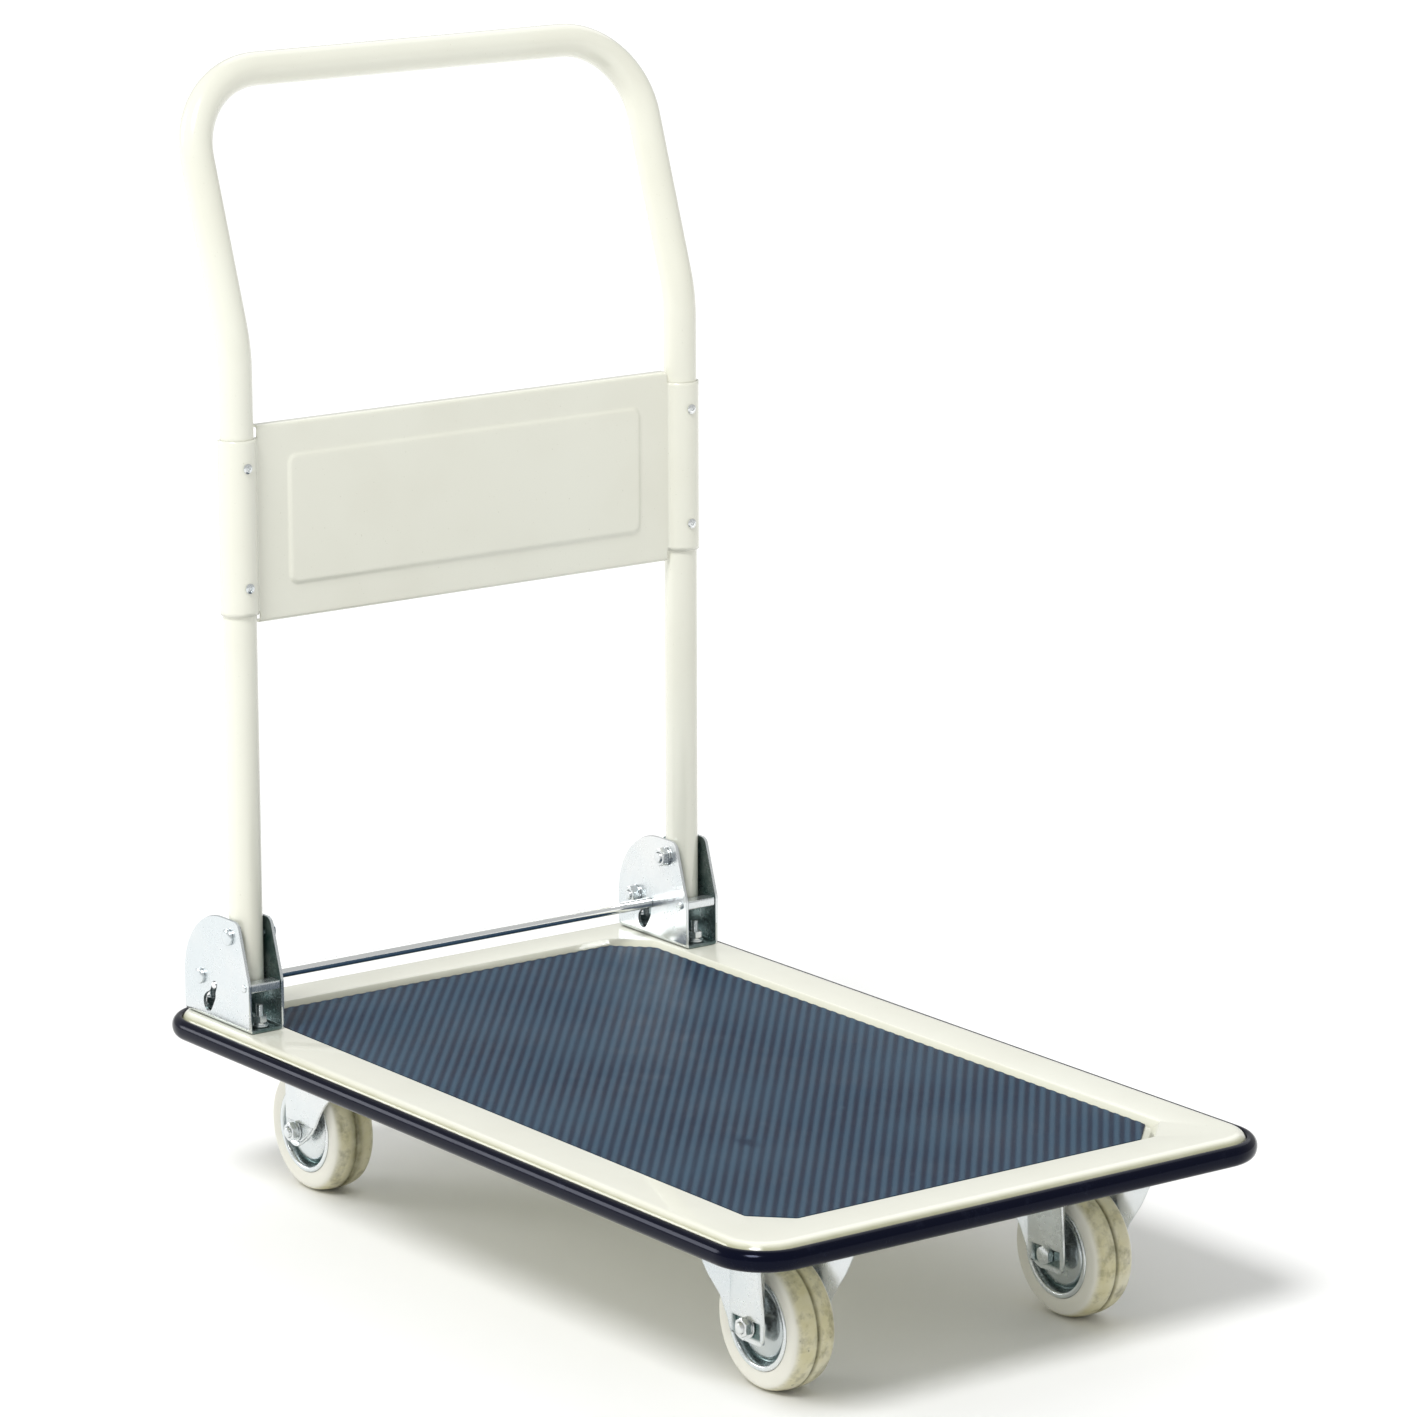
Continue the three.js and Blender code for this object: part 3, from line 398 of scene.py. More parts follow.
def pressedSheet(mid, thickness, rim=0.3):
    # Middle surface moved half the thickness both ways along its normal, with a swollen rim between the two faces.
    rows, cols = mid.shape[:2]
    normal = np.cross(np.gradient(mid, axis=0), np.gradient(mid, axis=1))
    normal /= np.maximum(np.linalg.norm(normal, axis=2), 1e-9)[..., None]
    r = np.concatenate([np.zeros(cols - 1), np.arange(rows - 1), np.full(cols - 1, rows - 1), np.arange(rows - 1, 0, -1)])
    c = np.concatenate([np.arange(cols - 1), np.full(rows - 1, cols - 1), np.arange(cols - 1, 0, -1), np.zeros(rows - 1)])
    r, c = r.astype(int), c.astype(int)
    inward = mid[np.clip(r, 1, rows - 2), np.clip(c, 1, cols - 2)] - mid[r, c]
    out = -inward / np.maximum(np.linalg.norm(inward, axis=1), 1e-9)[:, None]
    edge = mid[r, c] + out * rim * thickness
    n, m = rows * cols, len(r)
    points = np.vstack([(mid + normal * thickness / 2).reshape(-1, 3), (mid - normal * thickness / 2).reshape(-1, 3), edge])
    face = gridFaces(rows, cols)
    b, e = r * cols + c, 2 * n + np.arange(m)
    nextB, nextE = np.roll(b, -1), np.roll(e, -1)
    tables = [face, face[:, ::-1] + n, np.stack([b, e, nextE, nextB], 1)[:, ::-1],
              np.stack([e, b + n, nextB + n, nextE], 1)[:, ::-1]]
    # The grid's own edge runs along its first row from high to low column, so the rim runs the other way.
    return facingOut(points, fixRim(tables))


def fixRim(tables):
    # The rim's turning has to oppose the top face's; it is compared on one shared edge.
    face, _, upper, _ = tables
    a, b = upper[0][0], upper[0][3]
    own = any((row[i], row[(i + 1) % 4]) == (a, b) for row in face[:1] for i in range(4))
    mine = any((upper[0][i], upper[0][(i + 1) % 4]) == (a, b) for i in range(4))
    if own == mine:
        return [tables[0], tables[1], tables[2][:, ::-1], tables[3][:, ::-1]]
    return tables


def hexBody(flats, height, bore, centre, axis, segments=72):
    # Hexagon radius is half the flats over the cosine of the angle from the nearest flat; a 30 degree cone trims its ends.
    t = np.linspace(0, 2 * pi, segments, endpoint=False)
    wide = flats / 2 / np.cos((t + pi / 6) % (pi / 3) - pi / 6)
    face = flats / 2 * 0.97
    drop = (wide - face) * math.tan(pi / 6)
    s = 1 if height > 0 else -1
    rows = [(face, 0), (wide, s * drop), (wide, height - s * drop), (face, height)]
    if bore:
        rows += [(bore + 0.45, height), (bore, height - s * 0.45), (bore, s * 0.45), (bore + 0.45, 0)]
    return turned(rows, segments, centre, axis, bool(bore))


def threadedBar(radius, pitch, low, high, centre, axis, segments=30):
    # Radius falls by a triangle wave of distance over pitch less the turn, which makes a helix; both ends taper.
    count = max(int(abs(high - low) / pitch * 6), 8)
    w = np.linspace(low, high, count)[:, None]
    t = np.linspace(0, 2 * pi, segments, endpoint=False)[None]
    tooth = np.abs(((w / pitch - t / (2 * pi)) % 1.0) * 2 - 1)
    r = radius - 0.5 * pitch * tooth
    r[0], r[-1] = radius - 0.8 * pitch, radius - 0.8 * pitch
    return skin(onAxis(r * np.cos(t), r * np.sin(t), np.broadcast_to(w, r.shape), centre, axis))


def washer(inner, outer, low, high, centre, axis, segments=48):
    # Flat ring with its edges eased by a fifth of its thickness.
    e = (high - low) * 0.2
    rows = [(inner, low), (outer - abs(e), low), (outer, low + e), (outer, high - e), (outer - abs(e), high), (inner, high)]
    return turned(rows, segments, centre, axis, True)


def putMesh(name, shells):
    points = np.vstack([s[0] for s in shells]) * 0.001
    corners, sizes, base = [], [], 0
    for shellPoints, tables in shells:
        for table in tables:
            corners.append((table + base).ravel())
            sizes.append(np.full(len(table), table.shape[1]))
        base += len(shellPoints)
    corners, sizes = np.concatenate(corners), np.concatenate(sizes)
    mesh = bpy.data.meshes.new(name)
    mesh.vertices.add(len(points))
    mesh.vertices.foreach_set("co", points.astype(np.float32).ravel())
    mesh.loops.add(len(corners))
    mesh.loops.foreach_set("vertex_index", corners.astype(np.int32))
    mesh.polygons.add(len(sizes))
    mesh.polygons.foreach_set("loop_start", np.concatenate([[0], np.cumsum(sizes)[:-1]]).astype(np.int32))
    mesh.update(calc_edges=True)
    mesh.validate()
    return mesh


def cutThrough(piece, cutters):
    # Takes the cutter shells out of the piece for good.
    tool = bpy.data.objects.new("cutter", putMesh("cutter", cutters))
    bpy.context.scene.collection.objects.link(tool)
    change = piece.modifiers.new("cut", "BOOLEAN")
    change.operation, change.solver, change.object = "DIFFERENCE", "EXACT", tool
    graph = bpy.context.evaluated_depsgraph_get()
    done = bpy.data.meshes.new_from_object(piece.evaluated_get(graph))
    piece.modifiers.clear()
    piece.data = done
    bpy.data.objects.remove(tool)


def addPiece(name, shells, finish, body, node=None, sharp=32.0, cutters=None):
    piece = bpy.data.objects.new(name, putMesh(name, shells))
    bpy.context.scene.collection.objects.link(piece)
    piece.data.materials.append(finish)
    if cutters:
        cutThrough(piece, cutters)
    piece.data.shade_smooth()
    piece.data.set_sharp_from_angle(angle=math.radians(sharp))
    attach(piece, body)
    if node:
        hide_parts(*(node if isinstance(node, (list, tuple)) else [node]))
    return piece


# The deck.

deckLook = {
    "panX": 382.0, "panY": 232.0, "corner": 35.0, "topZ": 145.0, "sheet": 1.8, "roll": 8.0, "skirtZ": 126.5,
    "recessX": 341.0, "recessY": 189.0, "recessCut": 26.5, "slope": 6.0, "depth": 5.0,
}


def deckPan(look):
    # Loops step outward from the recess floor, up its sloping wall, across the border and round the rolled edge,
    # then back underneath one sheet thickness away.
    def recess(d, z, soften=5.0):
        return boxLoop(look["recessX"] - d, look["recessY"] - d, look["recessCut"] - 0.586 * d, z, True, soften)

    def rim(d, z):
        return boxLoop(look["panX"] - d, look["panY"] - d, max(look["corner"] - d, 2.0), z)

    top, floor, sheet, roll = look["topZ"], look["topZ"] - look["depth"], look["sheet"], look["roll"]
    slope = look["slope"]
    loops = [recess(slope + 3.0, floor)]
    loops += [recess(slope + 1.2 - 1.7 * s, floor + 1.4 * s * s) for s in np.linspace(0, 1, 4)]
    loops += [recess(1.6 - 1.7 * s, top - 1.0 * (1 - s) ** 2) for s in np.linspace(0, 1, 5)]
    loops += [rim(roll + 6, top), rim(roll + 2, top)]
    loops += [rim(roll * (1 - math.sin(a)), top - roll * (1 - math.cos(a))) for a in np.linspace(0, pi / 2, 10)]
    loops += [rim(0.0, z) for z in (134.0, 130.0, look["skirtZ"] + 0.5)]
    loops += [rim(sheet * 0.3, look["skirtZ"]), rim(sheet * 0.7, look["skirtZ"]), rim(sheet, look["skirtZ"] + 0.5)]
    inner = roll - sheet
    loops += [rim(roll - inner * math.sin(a), top - roll + inner * math.cos(a)) for a in np.linspace(pi / 2, 0, 7)]
    loops += [recess(-1.2, top - sheet), recess(slope - 0.8, floor - sheet), recess(slope + 3.0, floor - sheet)]
    return skin(loops)


bumperRows = [
    (0.25, 140.9), (1.6, 141.75), (3.4, 141.5), (5.2, 140.5), (6.7, 138.8), (7.7, 136.6), (8.0, 134.0), (7.75, 131.6),
    (6.9, 129.2), (5.4, 127.4), (3.6, 126.5), (1.8, 126.45), (0.25, 127.1),
]


def bumperStrip(rows, look):
    # A D-shaped section, flat against the pan and bulged outward, carried round the pan's edge.
    section = smoothCurve(rows, 3)
    return skin([boxLoop(look["panX"] + d, look["panY"] + d, look["corner"] + d, z) for d, z in section], True)


def ribbedMat(look):
    # Rows run along the ribs, which lie at a slant. Across them the height is a squared-off sine,
    # 0.5 + 0.5 tanh(2.4 sin) / tanh 2.4, and each row is clipped where it leaves the cut-cornered outline.
    x, y, c, turn = look["halfX"], look["halfY"], look["chamfer"], math.radians(look["slant"])
    outline = np.array([(x, y - c), (x - c, y), (c - x, y), (-x, y - c), (-x, c - y), (c - x, -y), (x - c, -y), (x, c - y)])
    over = np.array([math.cos(turn), math.sin(turn)])
    a, l = outline @ over, outline @ np.array([-over[1], over[0]])
    first, last = a.argmin(), a.argmax()
    chains = [[(first + k) % 8 for k in range((last - first) % 8 + 1)], [(first - k) % 8 for k in range((first - last) % 8 + 1)]]
    step = look["pitch"] / look["samples"]
    across = np.unique(np.concatenate([np.arange(a.min(), a.max(), step), a]))
    ends = np.sort([np.interp(across, a[chain], l[chain]) for chain in chains], axis=0)
    share = np.linspace(0, 1, look["columns"])[None]
    along = ends[0][:, None] * (1 - share) + ends[1][:, None] * share
    aa = np.broadcast_to(across[:, None], along.shape)
    rise = 0.5 + 0.5 * np.tanh(2.4 * np.sin(2 * pi * aa / look["pitch"])) / math.tanh(2.4)
    top = np.stack([aa * over[0] - along * over[1], aa * over[1] + along * over[0],
                    look["high"] - look["groove"] * (1 - rise)], -1)
    under = top.copy()
    under[..., 2] = look["low"]
    rows, cols = aa.shape
    r = np.concatenate([np.zeros(cols - 1), np.arange(rows - 1), np.full(cols - 1, rows - 1), np.arange(rows - 1, 0, -1)])
    q = np.concatenate([np.arange(cols - 1), np.full(rows - 1, cols - 1), np.arange(cols - 1, 0, -1), np.zeros(rows - 1)])
    b = (r * cols + q).astype(int)
    n, face = rows * cols, gridFaces(rows, cols)
    wall = np.stack([b, np.roll(b, -1), np.roll(b, -1) + n, b + n], 1)
    return facingOut(np.vstack([top.reshape(-1, 3), under.reshape(-1, 3)]), [face, face[:, ::-1] + n, wall])


def paintPoints(piece, name, rule):
    # Gives every point a value worked out from its place in millimetres.
    place = np.empty(len(piece.data.vertices) * 3, np.float32)
    piece.data.vertices.foreach_get("co", place)
    values = rule(*(place.reshape(-1, 3) * 1000).T)
    piece.data.attributes.new(name, "FLOAT", "POINT").data.foreach_set("value", values.astype(np.float32))


def panShade(x, y, z):
    # Painted shade on the rolled edge just above the bumper, and weaker on the recess walls.
    outer = np.maximum(np.abs(x) - 373.0, np.abs(y) - 223.0) > 0
    inner = (np.abs(x) < 345) & (np.abs(y) < 193)
    return np.where(outer, np.clip((144.6 - z) / 2.6, 0, 1) * 0.9, 0) + np.where(inner, np.clip((144.9 - z) / 1.5, 0, 1) * 0.4, 0)


pan = addPiece("deckPan", [deckPan(deckLook)], cream, "deck", "deck_pan", 40)
paintPoints(pan, "shade", panShade)
addPiece("bumperStrip", [bumperStrip(bumperRows, deckLook)], navy, "deck", "bumper_strip", 60)
addPiece("deckMat", [ribbedMat(matLook)], slate, "deck", "deck_mat", 50)
print("deck made")


# The handle.

handleLook = {
    "pivotX": -302.0, "sideY": 206.5, "endZ": 176.5, "bendZ": 652.6, "bendRadius": 110.0, "bendTurn": 19.0,
    "slope": 126.5, "loopRadius": 65.7, "tubeRadius": 12.95, "wall": 1.6,
}


def handleLine(look):
    # Up the left side, back through the bend arc, up the slope, round a quarter circle in the tilted plane; the right
    # half is its mirror.
    x0, y0, turn, bend = look["pivotX"], look["sideY"], math.radians(look["bendTurn"]), look["bendRadius"]
    a = np.linspace(0, turn, 14)
    arc = np.stack([x0 - bend * (1 - np.cos(a)), 0 * a, look["bendZ"] + bend * np.sin(a)], 1)
    lean = np.array([-math.sin(turn), 0, math.cos(turn)])
    start = arc[-1] + lean * look["slope"]
    q = np.linspace(0, pi / 2, 26)
    corner = start + np.outer(look["loopRadius"] * np.sin(q), lean)
    inset = np.concatenate([np.zeros(30 + 14 + 7), look["loopRadius"] * (1 - np.cos(q))])
    rise = np.stack([np.full(30, x0), np.zeros(30), np.linspace(look["endZ"], look["bendZ"], 31)[:-1]], 1)
    slope = arc[-1] + np.linspace(0, 1, 9)[1:-1, None] * (start - arc[-1])
    half = np.vstack([rise, arc, slope, corner])
    half[:, 1] = -y0 + inset
    across = np.linspace(half[-1], half[-1] * [1, -1, 1], 16)[1:-1]
    return np.vstack([half, across, (half * [1, -1, 1])[::-1]])


def barrel(radius, low, high, centre, segments=40):
    return turned([(radius, low), (radius, high)], segments, centre, "y")


addPiece("handleTube", [sweep(handleLine(handleLook), handleLook["tubeRadius"], 48, handleLook["wall"])], cream, "handle",
         "handle_tube", 50,
         [barrel(4.5, low, low + 40, (handleLook["pivotX"], 0, 217.0)) for low in (-226.5, 186.5)])

panelLook = {
    "backX": -299.2, "sheet": 1.6, "bottom": 460.5, "top": 611.0, "half": 190.0, "flange": 8.0, "bend": 2.0,
    "sleeveLow": 468.0, "sleeveHigh": 603.0, "sleeve": 14.0, "fillet": 3.0, "wrap": 108.0,
    "fieldY": 165.0, "fieldLow": 485.0, "fieldHigh": 588.0, "fieldRise": 1.5, "fieldEdge": 4.0, "fieldCorner": 9.0,
}


def panelSheet(look):
    # Width runs flat, through a small fillet, then round the tube on a circle; height runs down the rear flanges by
    # quarter bends. The field is raised where the rounded-box distance turns negative, eased over its edge width.
    x0, f, rr = look["backX"] + look["sheet"] / 2, look["fillet"], look["sleeve"]
    cx, cy = handleLook["pivotX"], handleLook["sideY"]
    h = x0 - cx
    reach = math.sqrt((rr + f) ** 2 - (h + f) ** 2)
    lean = math.atan2(reach, h + f)
    flatEnd = cy - reach
    turn = np.linspace(0, lean, 7)[1:]
    filletY, filletX = flatEnd + f * np.sin(turn), x0 + f - f * np.cos(turn)
    s = np.linspace(lean, -math.radians(look["wrap"]), 30)[1:]
    sleeveY, sleeveX = cy - rr * np.sin(s), cx + rr * np.cos(s)
    flatY = np.concatenate([np.linspace(0, look["fieldY"] - 14, 30)[:-1], np.linspace(look["fieldY"] - 14, flatEnd - 0.8, 40)])
    edgeY = np.concatenate([flatY, [flatEnd], filletY, sleeveY])
    edgeX = np.concatenate([np.full(len(flatY) + 1, x0), filletX, sleeveX])
    y = np.concatenate([-edgeY[:0:-1], edgeY])
    x = np.concatenate([edgeX[:0:-1], edgeX])
    wide = len(flatY) + 1
    bend, low, high = look["bend"], look["bottom"], look["top"]
    q = np.linspace(0, pi / 2, 6)
    flange = np.linspace(look["flange"], bend, 4)[:-1]
    upZ = np.concatenate([[look["sleeveHigh"]], np.linspace(look["sleeveHigh"], high - bend, 4)[1:-1],
                          high - bend + bend * np.sin(q), np.full(len(flange), high)])
    upBack = np.concatenate([np.zeros(3), bend * (1 - np.cos(q)), flange[::-1]])
    downZ, downBack = (low + high - upZ)[::-1], upBack[::-1]
    downZ = np.concatenate([downZ[:-1] , [look["sleeveLow"]]])
    fine = np.concatenate([
        np.linspace(look["sleeveLow"], look["fieldLow"] - 4, 5)[1:-1],
        np.linspace(look["fieldLow"] - 4, look["fieldLow"] + 14, 16)[:-1],
        np.linspace(look["fieldLow"] + 14, look["fieldHigh"] - 14, 12)[:-1],
        np.linspace(look["fieldHigh"] - 14, look["fieldHigh"] + 4, 16),
        np.linspace(look["fieldHigh"] + 4, look["sleeveHigh"], 5)[1:-1]])
    z = np.concatenate([downZ, fine, upZ])
    back = np.concatenate([downBack, np.zeros(len(fine)), upBack])
    gz, gy = np.meshgrid(z, y, indexing="ij")
    gx = np.broadcast_to(x, gz.shape) - back[:, None]
    midZ, halfZ = (look["fieldLow"] + look["fieldHigh"]) / 2, (look["fieldHigh"] - look["fieldLow"]) / 2
    r = look["fieldCorner"]
    qy, qz = np.abs(gy) - look["fieldY"] + r, np.abs(gz - midZ) - halfZ + r
    away = np.hypot(np.maximum(qy, 0), np.maximum(qz, 0)) + np.minimum(np.maximum(qy, qz), 0) - r
    ease = np.clip(-away / look["fieldEdge"], 0, 1)
    gx = gx + look["fieldRise"] * ease * ease * (3 - 2 * ease)
    mid = np.stack([gx, gy, gz], -1)
    lowRow, highRow = len(downZ) - 1, len(downZ) + len(fine)
    centre = len(edgeY) - 1
    return mid, (lowRow, highRow), (centre - wide + 1, centre + wide - 1)


def notchedSheet(mid, keepRows, keepCols, thickness):
    # The four corner blocks of the grid are left out, then the rest gets its wall from a Solidify modifier.
    rows, cols = mid.shape[:2]
    face = gridFaces(rows, cols)
    r, c = face[:, 0] // cols, face[:, 0] % cols
    keep = ((r >= keepRows[0]) & (r < keepRows[1])) | ((c >= keepCols[0]) & (c < keepCols[1]))
    face = face[keep]
    used, index = np.unique(face, return_inverse=True)
    return mid.reshape(-1, 3)[used], [index.reshape(-1, 4)[:, ::-1]]


midSurface, rowsKept, colsKept = panelSheet(panelLook)
panel = addPiece("handlePanel", [notchedSheet(midSurface, rowsKept, colsKept, panelLook["sheet"])], cream, "handle",
                 "handle_panel", 40)
wallMaker = panel.modifiers.new("wall", "SOLIDIFY")
wallMaker.thickness, wallMaker.offset, wallMaker.use_even_offset = 0.0014, 0.0, True


def screwHead(centre):
    # Pan head facing +X on a polar grid: a dome 1.8 high, sunk 0.9 where the point lies inside a cross.
    t = np.linspace(0, 2 * pi, 64, endpoint=False)[None]
    r = np.concatenate([np.linspace(0.15, 3.6, 20), [3.8, 3.8]])[:, None]
    dome = 1.8 * np.sqrt(np.maximum(1 - (r / 4.3) ** 2, 0))
    dome[-1] = 0.0
    u, v = np.abs(r * np.cos(t)), np.abs(r * np.sin(t))
    slotShape = np.clip((0.62 - np.minimum(u, v)) * 4, 0, 1) * np.clip((2.1 - np.maximum(u, v)) * 3, 0, 1)
    return skin(onAxis(r * np.cos(t), r * np.sin(t), np.broadcast_to(dome, (22, 64)) - 0.9 * slotShape, centre, "x")[::-1])


for tag, side in sides:
    for level, z in (("low", 490.0), ("high", 582.0)):
        node = f"panel_screw_{level}_{tag}"
        spot = (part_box(node)[0].x * 1000, side * handleLook["sideY"], z)
        addPiece(f"panelScrew_{level}_{tag}", [screwHead(spot)], zinc, "handle", node)
print("handle made")


# The hinge brackets.

bracketLook = {
    "rearX": -367.2, "frontX": -274.7, "topZ": 230.5, "baseZ": 145.3, "arc": 55.0, "noseX": -294.5, "noseRadius": 7.0,
    "slantZ": 184.0, "halfWidth": 15.9, "sheet": 2.5, "bend": 3.0,
}


def bracketMiddle(look, cy):
    # Columns run front to back, rows round a U. The cheek height over x is the rear arc, a flat top, the nose arc and
    # the straight slant.
    x0, x1, arc = look["rearX"], look["frontX"], look["arc"]
    s = np.linspace(0, 1, 30)
    x = np.unique(np.concatenate([x0 + arc * (1 - np.cos(s * pi / 2)), np.linspace(x0 + arc, look["noseX"], 8),
                                  look["noseX"] + look["noseRadius"] * np.sin(np.linspace(0, math.radians(75), 9)),
                                  np.linspace(look["noseX"] + 6.76, x1, 10)]))
    nose = look["noseX"] + look["noseRadius"] * math.sin(math.radians(75))
    noseZ = look["topZ"] - look["noseRadius"] * (1 - math.cos(math.radians(75)))
    top = np.where(x < x0 + arc, look["topZ"] - arc + np.sqrt(np.maximum(arc ** 2 - (x - x0 - arc) ** 2, 0)), look["topZ"])
    onNose = look["topZ"] - look["noseRadius"] + np.sqrt(np.maximum(look["noseRadius"] ** 2 - (x - look["noseX"]) ** 2, 0))
    top = np.where(x > look["noseX"], onNose, top)
    top = np.where(x > nose, noseZ + (look["slantZ"] - noseZ) * (x - nose) / (x1 - nose), top)
    half, t, bend = look["halfWidth"] - look["sheet"] / 2, look["sheet"], look["bend"]
    low = look["baseZ"] + t / 2
    q = np.linspace(0, pi / 2, 6)
    down = np.linspace(0, 1, 22)[:, None]
    cheekZ = top[None] * (1 - down) + (low + bend) * down
    cheekY = np.full_like(cheekZ, -half)
    turnZ = np.broadcast_to((low + bend - bend * np.sin(q))[1:, None], (5, len(x)))
    turnY = np.broadcast_to((-half + bend - bend * np.cos(q))[1:, None], (5, len(x)))
    flat = np.linspace(-half + bend, 0, 5)[1:]
    flatY = np.broadcast_to(flat[:, None], (4, len(x)))
    halfY = np.vstack([cheekY, turnY, flatY])
    halfZ = np.vstack([cheekZ, turnZ, np.full((4, len(x)), low)])
    yAll, zAll = np.vstack([halfY, -halfY[-2::-1]]), np.vstack([halfZ, halfZ[-2::-1]])
    return np.stack([np.broadcast_to(x, yAll.shape), yAll + cy, zAll], -1)


def keyhole(low, high):
    # Pear-shaped outline smoothed by cutting its corners twice, carried straight through along Y.
    t = np.radians(np.linspace(-26, 154, 9))
    neck = np.stack([-324 + 3.5 * np.cos(t), 174 + 3.5 * np.sin(t)], 1)
    rest = [(-330.2, 168.4), (-334, 167), (-339.6, 163), (-340.6, 157.4), (-338.6, 153), (-334, 150.4), (-329.5, 152.6),
            (-326, 158), (-322.4, 164.5), (-322.9, 167.6)]
    outline = np.vstack([neck, rest])
    for _ in range(2):
        after = np.roll(outline, -1, axis=0)
        outline = np.stack([0.75 * outline + 0.25 * after, 0.25 * outline + 0.75 * after], 1).reshape(-1, 2)
    flat = np.column_stack([outline[:, 0], np.zeros(len(outline)), outline[:, 1]])
    return skin([flat + [0, low, 0], flat + [0, high, 0]])


def domeHead(radius, height, centre, direction, rim=0.8):
    # Low round head: a rim of the given height, then a quarter ellipse closing towards the middle.
    a = np.linspace(0, pi / 2 * 0.96, 9)
    rows = [(radius - 0.15, 0)] + [(radius * np.cos(v), direction * (rim + (height - rim) * np.sin(v))) for v in a]
    return turned(rows, 48, centre, "y")


boltLook = {
    "pivot": {"x": -302.0, "z": 217.0, "radius": 4.0, "flats": 13.0, "head": 6.5},
    "rear": {"x": -343.5, "z": 177.5, "radius": 3.5, "flats": 12.0, "head": 6.2},
}

for tag, side in sides:
    cy = side * 206.5
    outer, inner = cy + side * 15.9, cy - side * 15.9
    lowY, highY = min(outer, inner) - 2, max(outer, inner) + 2
    cuts = [keyhole(lowY, highY)]
    cuts += [barrel(b["radius"] + 0.45, lowY, highY, (b["x"], 0, b["z"])) for b in boltLook.values()]
    addPiece(f"hingeBracket_{tag}", [pressedSheet(bracketMiddle(bracketLook, cy), 2.5, 0.22)], zincShadedChannel, "deck",
             f"hinge_bracket_{tag}", 30, cuts)
    # Stop bar: a rounded box section carried across the channel, with a riveted dome outside each cheek.
    section = boxLoop(5.95, 3.4, 1.2, 0.0, cornerSteps=6, sideSteps=1)[:, :2]
    loops = [np.column_stack([-281.35 + section[:, 0] * k, np.full(len(section), y), 180.6 + section[:, 1] * k])
             for y, k in ((cy - 13.1, 0.94), (cy - 12.7, 1), (cy + 12.7, 1), (cy + 13.1, 0.94))]
    rivets = [domeHead(3.1, 1.25, (-281.3, outer + side * 0.05, 180.5), side, 0.3),
              domeHead(3.1, 1.25, (-281.3, inner - side * 0.05, 180.5), -side, 0.3),
              barrel(2.4, cy - 15.9, cy + 15.9, (-281.3, 0, 180.5), 24)]
    addPiece(f"stopBar_{tag}", [skin(loops)] + rivets, zinc, "deck", f"stop_bar_{tag}")
    for kind, b in boltLook.items():
        spot = (b["x"], outer + side * 0.3, b["z"])
        tip = inner - side * 8.5
        shank = turned([(b["radius"], outer + side * 0.6), (b["radius"], inner)], 40, (b["x"], 0, b["z"]), "y")
        thread = threadedBar(b["radius"], 1.1, inner + side * 0.3, tip, (b["x"], 0, b["z"]), "y")
        addPiece(f"{kind}Bolt_{tag}", [domeHead(b["head"], 3.3, spot, side, 1.5), shank, thread], zinc, "deck",
                 f"{kind}_bolt_{tag}")
        face = inner - side * 0.3
        ring = washer(b["radius"] + 0.4, 7.6, face, face - side * 1.2, (b["x"], 0, b["z"]), "y")
        nut = hexBody(b["flats"], -side * 5.4, b["radius"] + 0.3, (b["x"], face - side * 1.25, b["z"]), "y")
        addPiece(f"{kind}Nut_{tag}", [ring, nut], zinc, "deck", f"{kind}_nut_{tag}")
    for spot, x in (("front", -284.5), ("rear", -352.0)):
        head = hexBody(10.0, -4.0, 0, (x, cy, 142.9), "z")
        stud = threadedBar(3.0, 1.0, 142.7, 165.5, (x, cy, 0), "z")
        addPiece(f"deckBolt_{spot}_{tag}", [head, stud], zinc, "deck", f"deck_bolt_{spot}_{tag}")
        flatRing = washer(3.3, 7.0, 148.1, 149.5, (x, cy, 0), "z")
        t = np.linspace(0, 2 * pi, 48, endpoint=False)
        rise = 0.9 * t / (2 * pi)  # one turn of a split lock washer climbs by its own gap
        lock = turned([(3.3, 149.55 + 0 * t), (5.3, 149.55 + 0 * t), (5.3, 150.4 + rise), (3.3, 150.4 + rise)], 48,
                      (x, cy, 0), "z", True)
        nut = hexBody(10.0, 5.3, 3.3, (x, cy, 151.35), "z")
        addPiece(f"deckNut_{spot}_{tag}", [flatRing, lock, nut], zinc, "deck", f"deck_nut_{spot}_{tag}")
print("brackets made")


# The release rod and its springs.

rodRows = [
    (1.2, 223.7), (2.5, 223.5), (3.0, 222.9), (3.0, 190.4), (3.3, 190.1), (3.9, 190.1), (4.3, 189.6), (4.3, 150.0),
    (4.3, 90.0), (4.3, 30.0),
]
rodProfile = rodRows + [(r, -y) for r, y in rodRows[::-1]]
rod = addPiece("releaseRod", [turned(rodProfile, 48, (-324.0, 0, 174.0), "y")], chrome, "release_rod", "release_rod")
# Painted shade: the rod's underside is darkened as shade and dark reflection.
paintPoints(rod, "shade", lambda x, y, z: np.clip((173.2 - z) / 2.4, 0, 1) * 0.8)


springLook = {
    "x": -343.5, "z": 177.5, "coil": 5.6, "turns": 4.25, "start": 190.0, "half": 8.0, "downLeg": 14.0, "upLeg": 9.0,
    "wire": 1.0,
}


